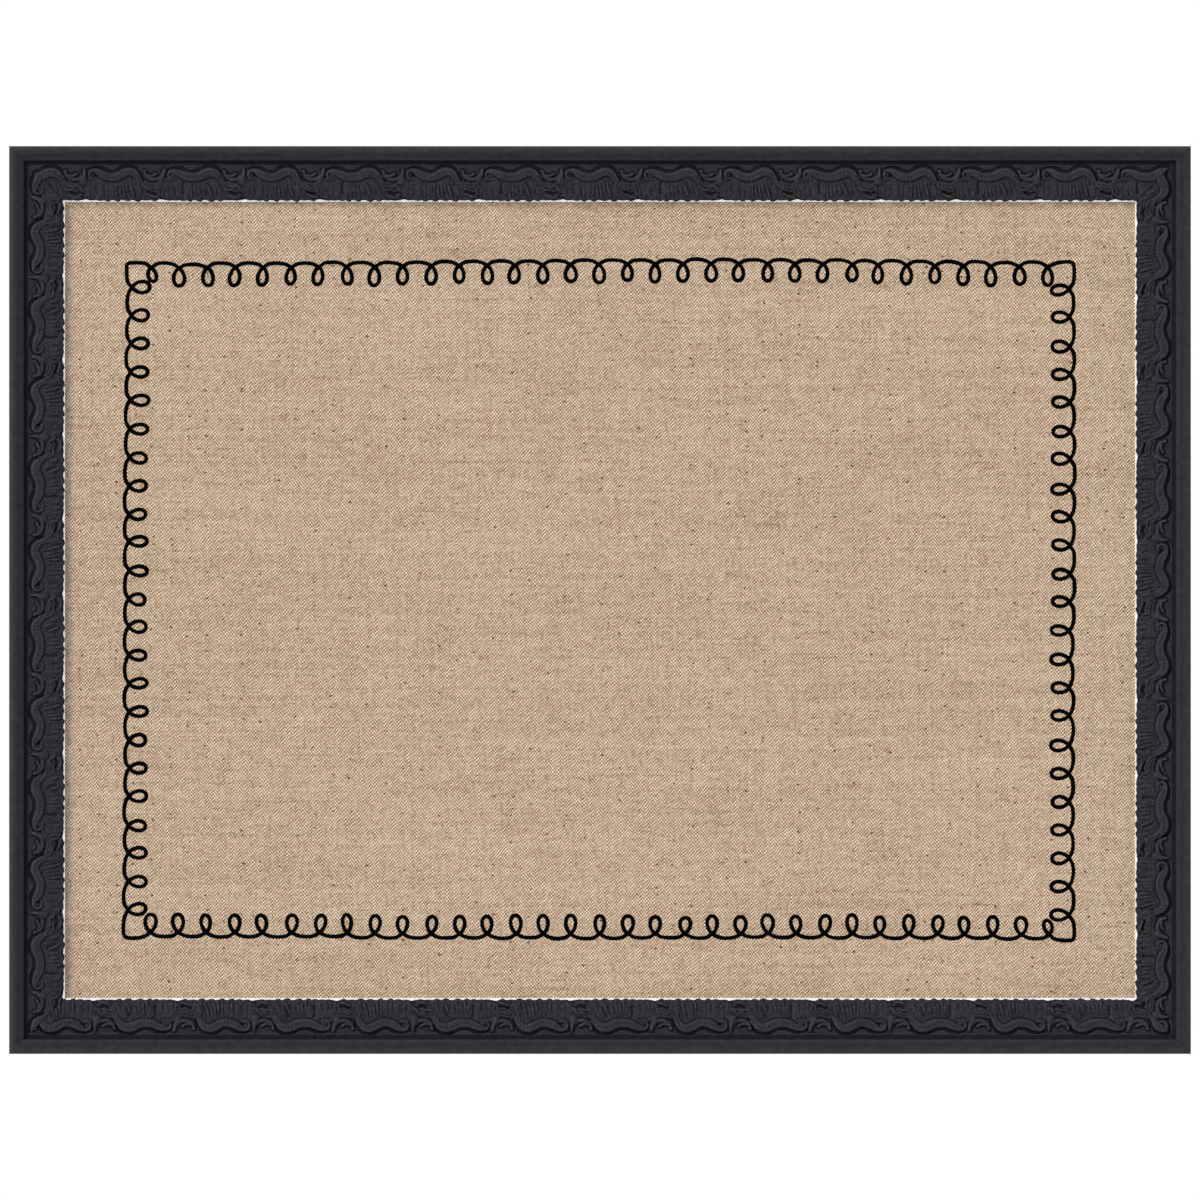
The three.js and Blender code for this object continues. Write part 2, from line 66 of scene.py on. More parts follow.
class Nodes:
    """A short way to write the node tree of a material or of the world."""

    def __init__(self, owner):
        owner.use_nodes = True
        self.owner = owner
        self.tree = owner.node_tree

    def add(self, kind, inputs=None, **settings):
        node = self.tree.nodes.new(kind)
        for key, value in settings.items():
            setattr(node, key, value)
        for key, value in (inputs or {}).items():
            self.feed(node.inputs[key], value)
        return node

    def feed(self, socket, value):
        if isinstance(value, bpy.types.NodeSocket):
            self.tree.links.new(value, socket)
        else:
            socket.default_value = value

    def out(self, kind, inputs, output=0, **settings):
        return self.add(kind, inputs, **settings).outputs[output]

    def maths(self, operation, first, second=0):
        return self.out("ShaderNodeMath", {0: first, 1: second}, operation=operation)

    def plus(self, first, *others):
        for other in others:
            first = self.maths("ADD", first, other)
        return first

    def times(self, first, second):
        return self.maths("MULTIPLY", first, second)

    def vectors(self, operation, first, second):
        return self.out("ShaderNodeVectorMath", {0: first, 1: second}, operation=operation)

    def combined(self, x, y, z=0):
        return self.out("ShaderNodeCombineXYZ", {0: x, 1: y, 2: z})

    def place(self):
        return self.out("ShaderNodeTexCoord", {}, "Object")

    def mapped(self, vector, scale):
        return self.out("ShaderNodeMapping", {"Vector": vector, "Scale": scale})

    def attribute(self, name, output):
        return self.out("ShaderNodeAttribute", {}, output, attribute_name=name)

    def noise(self, scale, detail, roughness, vector=(1, 1, 1), output="Fac"):
        """vector is a socket, or how much the object's own axes are stretched."""
        if isinstance(vector, tuple):
            vector = self.mapped(self.place(), vector)
        inputs = {"Vector": vector, "Scale": scale, "Detail": detail, "Roughness": roughness}
        return self.out("ShaderNodeTexNoise", inputs, output)

    def ramp(self, value, *stops):
        node = self.add("ShaderNodeValToRGB", {"Fac": value})
        elements = node.color_ramp.elements
        while len(elements) < len(stops):
            elements.new(0.5)
        for element, (place, colour) in zip(elements, stops):
            element.position = place
            element.color = (*colour, 1)
        return node.outputs["Color"]

    def spread(self, value, low, high, new_low, new_high):
        inputs = {"Value": value, 1: low, 2: high, 3: new_low, 4: new_high}
        return self.out("ShaderNodeMapRange", inputs)

    def bump(self, height, strength, distance):
        inputs = {"Height": height, "Strength": strength, "Distance": distance}
        return self.out("ShaderNodeBump", inputs)

    def set(self, **inputs):
        shader = self.tree.nodes["Principled BSDF"]
        for key, value in inputs.items():
            self.feed(shader.inputs[key.replace("_", " ")], value)
        return self.owner


def material_nodes(name):
    return Nodes(bpy.data.materials.new(name))


def triple(value):
    return (value, value, value)


def smoothstep(low, high, value):
    share = np.clip((value - low) / (high - low), 0, 1)
    return share * share * (3 - 2 * share)


# Materials


def moulding_paint():
    """Dark graphite finish, lighter where the carving stands proud and black in its hollows: partly
    a rubbed patina, partly painted highlight and painted shade.
    """
    n = material_nodes("moulding_paint")
    level = n.attribute("tone", "Fac")
    brushed = n.noise(1, 4, 0.65, n.mapped(n.attribute("grain", "Vector"), (45, 900, 900)))
    specks = n.noise(1300, 3, 0.7)
    mottle = n.noise(240, 3, 0.6)
    for value, share in ((brushed, 0.3), (specks, 0.44), (mottle, 0.36)):
        level = n.plus(level, n.times(n.maths("SUBTRACT", value, 0.5), share))
    # The tone sets the colour, so its painted shade and painted highlight show here as darker and
    # lighter paint.
    colour = n.ramp(
        level,
        (0, (0.0012, 0.0016, 0.0034)),
        (0.25, (0.0042, 0.0049, 0.008)),
        (0.5, (0.0157, 0.0166, 0.0195)),
        (0.75, (0.0332, 0.0343, 0.0379)),
        (1, (0.071, 0.0725, 0.078)),
    )
    n.set(Base_Color=colour, Roughness=n.spread(level, 0, 1, 0.75, 0.5))
    return n.set(Normal=n.bump(specks, 0.2, 0.1 * MM), Specular_IOR_Level=0.14)


def raw_wood():
    """Bare pine on the moulding's back and in the rabbet, with grain along each length."""
    n = material_nodes("raw_wood")
    grain = n.attribute("grain", "Vector")
    rings = n.noise(1, 5, 0.6, n.mapped(grain, (14, 260, 260)))
    fibres = n.noise(1, 4, 0.7, n.mapped(grain, (60, 2400, 2400)))
    colour = n.ramp(
        n.plus(n.times(rings, 0.7), n.times(fibres, 0.3)),
        (0.3, (0.3, 0.17, 0.08)),
        (0.5, (0.5, 0.33, 0.18)),
        (0.68, (0.62, 0.45, 0.27)),
    )
    n.set(Base_Color=colour, Roughness=n.spread(fibres, 0.3, 0.7, 0.62, 0.8))
    return n.set(Normal=n.bump(fibres, 0.35, 0.2 * MM))


WARP_PITCH = 0.818 * MM
WEFT_PITCH = 1.026 * MM
THREAD_DRIFT = 2 * MM
WEAVE_DEPTH = 0.232
# What shades each thread: the axis it runs along, over how many millimetres, and its share.
THREAD_SHADES = [
    ("X", 11, 0.25), ("X", 40, 0.14), ("X", 250, 0.19),
    ("Z", 6, 0.17), ("Z", 40, 0.15), ("Z", 250, 0.08),
]
LINEN_COLOUR = (0.459, 0.342, 0.2475)
LINEN_SHADE = (1.17, 1, 0.89)  # how much of a light or dark change each channel takes
HUE_SHARES = (1, -0.6, 0.2)  # how much of the faint hue each channel takes


def weave(n):
    """Plain weave in the board's X and Z: which thread lies on top, thread shade and spot noise."""
    place = n.place()
    drift = n.vectors("SUBTRACT", n.noise(30, 3, 0.72, place, "Color"), triple(0.5))
    moved = n.vectors("ADD", place, n.vectors("MULTIPLY", drift, triple(THREAD_DRIFT)))
    axes = n.add("ShaderNodeSeparateXYZ", {0: moved}).outputs
    across = n.maths("DIVIDE", axes["X"], WARP_PITCH)
    up = n.maths("DIVIDE", axes["Z"], WEFT_PITCH)

    def stripes(turns):
        return n.maths("COSINE", n.times(turns, math.pi))

    lean = n.spread(n.noise(90, 2, 0.5), 0.38, 0.62, 0.25, 0.75)
    rising = n.times(stripes(n.maths("SUBTRACT", across, up)), lean)
    falling = n.times(stripes(n.plus(across, up)), n.maths("SUBTRACT", 1, lean))
    packing = stripes(n.maths("SUBTRACT", n.times(across, 0.571), n.times(up, 1.05)))
    top_thread = n.plus(rising, falling, n.times(packing, 0.34))

    column, row = (n.maths("FLOOR", n.plus(threads, 0.5)) for threads in (across, up))
    shades = []
    for k, (axis, length, share) in enumerate(THREAD_SHADES):
        thread = n.times(column if axis == "Z" else row, 7.31)
        key = n.combined(thread, n.maths("DIVIDE", axes[axis], length * MM), 3.7 * k)
        shades.append(n.times(n.noise(1, 2, 0.6, key), share))
    spot = n.out("ShaderNodeTexWhiteNoise", {"Vector": n.combined(column, row, 0.5)}, "Value")
    return top_thread, n.plus(*shades), spot


SPECK_CELL = 6.5 * MM
SPECK_CORE = 0.22 * MM  # a speck is fully dark up to here,
SPECK_EDGE = 0.6 * MM  # and ends here
SPECK_DEPTH = -0.38
SPECK_SHARE = 0.2  # of the cells that hold one


def dark_specks(n):
    """Scattered bits of dark bark in the yarn, a little longer crosswise."""
    place = n.add("ShaderNodeSeparateXYZ", {0: n.mapped(n.place(), (0.65, 1, 1))}).outputs
    inputs = {"Vector": n.combined(place["X"], place["Z"]), "Scale": 1 / SPECK_CELL}
    dots = n.add("ShaderNodeTexVoronoi", inputs, voronoi_dimensions="2D").outputs
    near, far = SPECK_CORE / SPECK_CELL, SPECK_EDGE / SPECK_CELL
    pick = n.out("ShaderNodeSeparateColor", {0: dots["Color"]})
    dark = n.spread(dots["Distance"], near, far, SPECK_DEPTH, 0)
    return n.times(dark, n.maths("LESS_THAN", pick, SPECK_SHARE))


def linen_cloth():
    """Flax-coloured plain weave, with thicker dark fibres in the crosswise yarn and flecks."""
    n = material_nodes("linen_cloth")
    top_thread, shade, spot = weave(n)
    depth = n.spread(spot, 0, 1, WEAVE_DEPTH * 0.5, WEAVE_DEPTH * 1.5)
    slubs = n.spread(n.noise(430, 2, 0.5, (0.16, 1, 1)), 0.6, 0.74, 0, -0.052)
    flecks = n.spread(n.noise(640, 1, 0.4, (0.8, 1, 1)), 0.715, 0.78, 0, -0.15)
    clouds = n.spread(n.noise(40, 4, 0.62, (0.32, 1, 1)), 0.3, 0.7, -0.014, 0.014)
    threads = n.spread(shade, 0.3, 0.7, -0.132, 0.132)
    spots = n.spread(n.maths("SQRT", spot), 0, 1, -0.108, 0.045)
    change = n.times(top_thread, depth)
    change = n.plus(change, slubs, flecks, clouds, threads, spots, dark_specks(n))
    hue = n.spread(n.noise(260, 3, 0.7, (0.7, 1, 1)), 0.34, 0.66, -0.009, 0.009)
    channels = []
    for base, share, hue_share in zip(LINEN_COLOUR, LINEN_SHADE, HUE_SHARES):
        lit = n.plus(n.times(change, share), n.times(hue, hue_share), base)
        channels.append(n.maths("MINIMUM", n.maths("MAXIMUM", lit, 0.02), 0.98))
    colour = n.out("ShaderNodeCombineColor", dict(enumerate(channels)))
    n.set(Base_Color=colour, Normal=n.bump(top_thread, 0.35, 0.12 * MM), Roughness=0.92)
    return n.set(Specular_IOR_Level=0.1, Sheen_Weight=0.04, Sheen_Roughness=0.5)


def printed_ink():
    n = material_nodes("printed_ink")
    top_thread, shade, _ = weave(n)
    colour = n.ramp(shade, (0.3, (0.0004, 0.0004, 0.0005)), (0.75, (0.0016, 0.0016, 0.0017)))
    n.set(Base_Color=colour, Normal=n.bump(top_thread, 0.3, 0.1 * MM))
    return n.set(Roughness=0.9, Specular_IOR_Level=0.02)


def slip_paint():
    n = material_nodes("slip_paint")
    colour = n.ramp(n.noise(120, 3, 0.6), (0.3, (0.8, 0.8, 0.79)), (0.7, (0.88, 0.88, 0.875)))
    n.set(Base_Color=colour, Normal=n.bump(n.noise(900, 2, 0.5), 0.1, 0.1 * MM))
    return n.set(Metallic=0.85, Roughness=0.38)


SCREEN_PITCH = 1.9 * MM


def hardboard():
    """Brown hardboard, with the screen pattern that its rough side has, its pits darkened as
    painted shade.
    """
    n = material_nodes("hardboard")
    place = n.place()
    axes = n.add("ShaderNodeSeparateXYZ", {0: place}).outputs
    across, up = (
        n.maths("SINE", n.times(axes[axis], 2 * math.pi / SCREEN_PITCH)) for axis in ("X", "Z")
    )
    pattern = n.times(across, up)
    mottle = n.noise(45, 5, 0.65, place)
    fibres = n.noise(900, 3, 0.7, (1, 1, 0.35))
    colour = n.ramp(
        n.plus(n.times(mottle, 0.6), n.times(fibres, 0.4)),
        (0.3, (0.085, 0.04, 0.018)),
        (0.5, (0.15, 0.076, 0.036)),
        (0.72, (0.235, 0.13, 0.066)),
    )
    # The screen's pits are painted darker: painted shade in its hollows.
    painted_pit_shade = n.spread(pattern, -1, 1, 0.8, 1.06)
    n.set(Base_Color=n.vectors("MULTIPLY", colour, n.combined(painted_pit_shade, painted_pit_shade, painted_pit_shade)))
    n.set(Roughness=n.spread(mottle, 0.3, 0.7, 0.55, 0.75))
    return n.set(Normal=n.bump(n.plus(pattern, n.times(fibres, 0.8)), 0.5, 0.2 * MM))


def cork():
    n = material_nodes("cork")
    cells = n.add("ShaderNodeTexVoronoi", {"Vector": n.place(), "Scale": 420}).outputs
    colour = n.ramp(
        n.out("ShaderNodeSeparateColor", {0: cells["Color"]}),
        (0, (0.2, 0.1, 0.045)),
        (0.4, (0.42, 0.24, 0.11)),
        (1, (0.55, 0.34, 0.17)),
    )
    return n.set(Base_Color=colour, Roughness=0.9, Normal=n.bump(cells["Distance"], 0.5, 0.4 * MM))


def steel(name, tint, roughness, streak):
    """Plated steel with drawing lines and a little spread in its polish."""
    n = material_nodes(name)
    clouds = n.noise(220, 4, 0.6)
    lines = n.noise(900, 3, 0.7, streak)
    dull = n.spread(clouds, 0.3, 0.7, roughness - 0.06, roughness + 0.08)
    n.set(Base_Color=n.ramp(clouds, (0.3, tuple(c * 0.78 for c in tint)), (0.7, tint)))
    n.set(Roughness=n.plus(dull, n.spread(lines, 0.3, 0.7, -0.05, 0.05)))
    return n.set(Metallic=1, Normal=n.bump(lines, 0.12, 0.05 * MM))


def bumper_gel():
    n = material_nodes("bumper_gel")
    haze = n.noise(300, 3, 0.5)
    n.set(Base_Color=n.ramp(haze, (0.3, (0.76, 0.77, 0.76)), (0.7, (0.82, 0.83, 0.82))))
    n.set(Roughness=n.spread(haze, 0.3, 0.7, 0.22, 0.34))
    return n.set(Transmission_Weight=0.3, IOR=1.46)


# Meshes


def placed(name, data):
    made = bpy.data.objects.new(name, data)
    bpy.context.scene.collection.objects.link(made)
    return made


def piece(name, vertices, faces, materials):
    """A mesh of the board's body, with all its faces turned outwards."""
    mesh = bpy.data.meshes.new(name)
    mesh.from_pydata([tuple(v) for v in vertices], [], [tuple(f) for f in faces])
    for material in materials:
        mesh.materials.append(material)
    mesh.polygons.foreach_set("use_smooth", [True] * len(mesh.polygons))
    bm = bmesh.new()
    bm.from_mesh(mesh)
    bmesh.ops.recalc_face_normals(bm, faces=bm.faces)
    bm.to_mesh(mesh)
    bm.free()
    made = placed(name, mesh)
    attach(made, "board")
    return made


def grid_faces(rows, columns, start=0, wrap=False):
    """Quads of a grid of vertices stored row by row. wrap joins the last column to the first."""
    row = np.arange(rows - 1)[:, None]
    column = np.arange(columns if wrap else columns - 1)[None, :]
    a = start + row * columns + column
    b = start + row * columns + (column + 1) % columns
    return list(np.stack([a, b, b + columns, a + columns], axis=-1).reshape(-1, 4))


def catmull(points, steps=10, closed=False):
    """A smooth line through given points."""
    p = np.array(points, float)
    if closed:
        p = np.vstack([p[-1], p, p[0], p[1]])
    else:
        p = np.vstack([2 * p[0] - p[1], p, 2 * p[-1] - p[-2]])
    t = np.linspace(0, 1, steps, endpoint=False)[:, None]
    parts = []
    for a, b, c, d in zip(p, p[1:], p[2:], p[3:]):
        square = (2 * a - 5 * b + 4 * c - d) * t**2
        cube = (3 * b - a - 3 * c + d) * t**3
        parts.append(0.5 * (2 * b + (c - a) * t + square + cube))
    if not closed:
        parts.append(p[-2][None, :])
    return np.vstack(parts)


# The carved field of the moulding, in millimetres: s runs along the moulding, u inwards from its
# outer edge and v forwards from its back. It repeats, with a tall and a short spike by turns.
REPEAT = 88.45
FINE = 0.12  # spacing of the relief's own grid
FIELD_START = 10.3
SIGHT = MOULDING_WIDTH / MM
GROUND = 17.9  # height where nothing is carved
APRON = 18.9  # height of the apron below the scrolls
SOFTEN = 0.16  # how far the finished carving is blurred
DEEPEST = 16.8
HATCH = 0.18  # height of the lines across a scroll

# Where the apron of flutes begins below the scroll.
APRON_LINE = [
    (0, 18.3), (2.5, 17.5), (5.5, 17), (8, 16.5), (10, 18), (12, 19.3), (17, 19.3), (22, 17.8),
    (25, 15.5), (28, 16.8), (31, 18.6), (34, 19.4), (38, 20.1), (42, 19.4), (44.2, 18.2), (47, 17),
    (50, 16.5), (54, 18), (57, 19.3), (62, 19.3), (67, 17.8), (71, 16.5), (75, 18.2), (78, 19.3),
    (83, 20), (86, 19.3), (88.45, 18.3),
]

# Each scroll band: its middle line with its half width at every point.
SCROLLS = [
    [(3.9, 13.6, 0.9), (5.8, 13.6, 1.3), (8, 14.6, 2), (10, 15.9, 2.4), (12, 16.8, 2.5),
     (14.5, 17.3, 2.45), (17, 17.2, 2.45), (19.3, 16.4, 2.5), (21.4, 15.3, 2.6), (23.4, 14.4, 2.5),
     (25.4, 14.2, 2.3), (27.2, 14.9, 2.2), (28.8, 16.5, 2), (30.2, 18.5, 1.6), (31.4, 20.7, 1.2),
     (32.4, 22.4, 0.8), (33.2, 23.8, 0.5)],
    [(47.6, 14.1, 1), (49.6, 14.2, 1.6), (52.2, 15, 2.1), (54.6, 16.1, 2.4), (57.4, 17, 2.5),
     (61, 17.2, 2.6), (64.2, 16.7, 2.7), (66.6, 15.6, 2.8), (68.8, 14.8, 2.8), (71, 14.7, 2.7),
     (73, 15.4, 2.4), (74.8, 17, 2.1), (76.2, 18.9, 1.7), (77.4, 20.8, 1.2), (78.6, 22.6, 0.8),
     (79.6, 23.9, 0.5)],
]
# Along a scroll, at even places: how deep and wide the channel outside it is, and how strong the
# bead on its edge, the cut inside it and the band itself are.
CHANNEL_DEPTH = [1.35, 1.45, 0.85, 0.85, 1.35, 1.2, 0.75, 0.3]
CHANNEL_WIDTH = [1.45, 1.4, 0.95, 0.95, 1.35, 1.1, 0.9, 0.8]
BEAD_HEIGHT = [1, 0.8, 0.3, 0.35, 0.7, 1, 0.8, 0.3]
INSIDE_CUT = [0.9, 0.9, 0.9, 0.9, 0.55, 0.3, 0.15, 0.1]
SCROLL_LEVEL = [1, 1, 1, 1, 1, 1, 0.78, 0.5]
# The coils at a scroll's ends: each eye with its size and rise, each line with its half widths.
VOLUTE_EYES = [((4.4, 15.7), 1.5, 1), ((48.9, 16.3), 1.9, 0.9)]
VOLUTES = [
    ([(4.6, 13.2), (3.3, 13.9), (2.5, 15.4), (2.7, 16.9), (3.8, 17.8), (5.2, 18)],
     [0.8, 0.85, 0.85, 0.8, 0.6, 0.35]),
    ([(48.4, 13.6), (46.9, 14.5), (46.3, 16.2), (47, 17.7), (48.6, 18.3)],
     [0.8, 0.85, 0.75, 0.6, 0.35]),
    ([(48.4, 15.5), (49.6, 15.2), (51, 15.9)], [0.35, 0.5, 0.35]),
    ([(48, 16.9), (49.2, 16.5), (50.4, 16.9)], [0.3, 0.45, 0.3]),
]
# Each spike: its line, half widths and rise.
SPIKES = [
    ([(0, 12), (0, 13.8), (-0.1, 15.7), (-0.6, 17.8), (-0.9, 19.7)],
     [0.5, 0.8, 1.25, 2.1, 2.5], 2.3),
    ([(44.5, 12.7), (44.1, 14.4), (43.4, 16.2), (42.5, 18), (42.2, 19.6)],
     [0.85, 1.25, 1.55, 1.8, 1.5], 2.1),
]
# The bowl that hangs between a scroll and the next spike, once by each spike, and what lies in it:
# lines for the bowl and the tongue, and the narrow hollows round them.
BOWL_STARTS = [(0, 0), (44.3, 0.1)]
BOWL = [(33.4, 14.3), (34.2, 16.5), (36, 17.9), (38.4, 18.5), (41, 18.1), (42.9, 16.7), (43.8, 15)]
BOWL_WIDTHS = [0.8, 1, 1.2, 1.35, 1.5, 1.5, 1.1]
TONGUE = [(35, 16), (36.6, 16.6), (38.4, 16.2), (39.9, 15.3)]
TONGUE_WIDTHS = [0.5, 0.8, 0.85, 0.8]
KNOB = (33.3, 13.9)
BOWL_CUTS = [
    ([(34.5, 13.6), (35.7, 15.1), (37.6, 15.2), (39.2, 14.3), (40.7, 15), (41, 16.2), (39.3, 17.3)],
     0.4, 0.5),
    ([(32.3, 15.2), (32, 13.7), (32.9, 12.7), (34.2, 13)], 0.4, 0.9),
    ([(42.5, 15.4), (42.8, 13.5), (43.9, 12.1), (45.2, 12.7)], 0.4, 0.9),
    ([(33.2, 18.6), (35.8, 19.8), (39, 20.2), (42.2, 19.8)], 0.5, 0.3),
]
# The lines of the flutes, from the scroll down, and of the leaves and waves between them.
FLUTES = [
    [(12.1, 22), (12.2, 25.6), (12.6, 29.2)], [(14.1, 21.4), (14.3, 25.4), (14.7, 29.4)],
    [(15.8, 21.3), (16, 25.2), (16.4, 29.2)], [(17.7, 21.2), (17.6, 25.2), (17.8, 29.4)],
    [(19.5, 20.8), (19.7, 25), (20.1, 29.4)], [(21.1, 20.4), (21.6, 24.6), (22.4, 29.2)],
    [(22.8, 19.6), (23.6, 24.2), (24.9, 29.2)], [(24.6, 18.2), (25.8, 23), (27.4, 29)],
    [(26.6, 18.6), (28, 23), (29.8, 28.8)], [(29.2, 22), (30.4, 25.4), (31.6, 29)],
    [(57.4, 21.6), (57.6, 25.4), (57.9, 29.2)], [(59.4, 21.8), (59.4, 25.6), (59.6, 29.4)],
    [(61.2, 21.6), (61.4, 25.4), (61.8, 29.4)], [(63.2, 21.4), (63.5, 25), (64, 29.2)],
    [(65.6, 20.6), (66.1, 24.6), (66.9, 29.2)], [(68, 19.9), (69.2, 24), (70.6, 29)],
    [(70.8, 18.8), (72.4, 23.4), (74.2, 29)], [(73.6, 20.4), (75.2, 24.6), (76.8, 28.8)],
]
# Each lobe: its line and half width, in the middle.
LOBES = [
    ([(5.2, 19.8), (4.6, 22.8), (5, 26.4)], 1.6), ([(8.6, 19.6), (8.6, 23.2), (9.3, 27)], 1.9),
    ([(2.2, 20.6), (1.6, 24.2), (2.2, 28)], 1.2), ([(6.6, 27.4), (7.8, 28.6), (9, 29.2)], 0.9),
    ([(48.9, 20.4), (48.4, 23.4), (48.8, 27)], 1.6),
    ([(52, 19.8), (51.7, 23.4), (52.2, 27.4)], 1.7),
    ([(45.8, 20.6), (45.5, 24.2), (46.2, 28)], 1.3), ([(-0.6, 22.4), (-0.3, 24.4)], 1.7),
]
LEAVES = [
    [(32.9, 22.2), (34.6, 23.6), (37.4, 24.6)], [(34.6, 21.8), (36.8, 23), (39.4, 23.2)],
    [(35.4, 26.6), (38.2, 28), (41.2, 28.6)],
    [(77.6, 23.6), (79.6, 24.4), (82.4, 24.2)], [(80.4, 22.2), (82.6, 22.9), (84.4, 22.6)],
    [(84.6, 21.6), (86.2, 23.4), (87, 25.8)], [(79.8, 27.6), (82.8, 28.6), (86, 28.4)],
]
WAVES = [
    [(28.6, 18.8), (30, 21.6), (31.6, 25.6)], [(27, 20.6), (29, 24.6), (30.6, 28)],
    [(74.8, 19), (76.4, 21.6), (78.4, 25.6)], [(72.6, 20.6), (74.2, 24.2), (76, 28)],
    [(39.8, 22.6), (41.2, 24.4), (41.6, 27.2)], [(42.6, 22.4), (43.5, 24.6), (43.2, 26.8)],
]
# Narrow cuts: their line, half width and depth.
CUTS = [
    ([(35.1, 25.4), (37.6, 26.5), (40, 26.4)], 0.75, 1.2),
    ([(81, 25.8), (83.4, 26.5), (86, 25.8)], 0.75, 1.2),
    ([(1.8, 19.2), (4.4, 19.7), (7.4, 18.8)], 0.4, 0.5),
    ([(46, 19.4), (48.6, 19.9), (51.4, 19)], 0.4, 0.7),
    ([(55.2, 20.4), (54.7, 23.4), (55, 26.4)], 1, 0.9),
    ([(10.9, 21.6), (10.8, 25), (11.2, 28.4)], 0.35, 0.6),
    ([(26.9, 20.8), (28.4, 24.2), (30.2, 27.4)], 0.35, 0.8),
    ([(24.7, 19.4), (26.6, 23.6), (28.6, 27.2)], 0.35, 0.6),
    ([(68.6, 20.8), (70, 23.4), (71.4, 26.2)], 0.35, 0.9),
    ([(41.8, 28), (43, 29), (44.4, 29.4)], 0.5, 1),
    ([(-1.6, 28.2), (0, 28.9), (1.4, 28.4)], 0.5, 1),
    ([(-1.4, 26.2), (-0.4, 27.2), (-1, 28.4)], 0.6, 0.9),
    ([(5.2, 15.9), (6.2, 16.5), (7.2, 17)], 1, 0.6),
    ([(31.4, 15.4), (31.8, 17.4), (32.6, 19)], 0.5, 0.9),
    ([(75.7, 15.4), (76.2, 17.4), (77, 19)], 0.5, 0.9),
]
# Bulges and notches of the sight edge over the slip: place along, half width, reach.
SIGHT_EDGE = [
    (3.8, 1.7, 0.19), (8.4, 1.8, 0.47), (12.5, 1.6, 0.84), (18, 1.7, 0.84), (23.8, 1.9, 0.6),
    (29.2, 2, 0.84), (34, 2, 0.28), (38.6, 1.5, 0.7), (47, 1.6, 0.37), (50.6, 1.7, 0.37),
    (54.6, 1.8, 0.56), (58.4, 1.6, 0.84), (63.6, 1.9, 0.84), (70.2, 2.1, 0.93), (75.2, 1.7, 0.7),
    (80, 2, 0.23), (84.2, 1.8, 0.37), (0.8, 1.4, -0.42), (42.4, 1.6, -0.47),
]


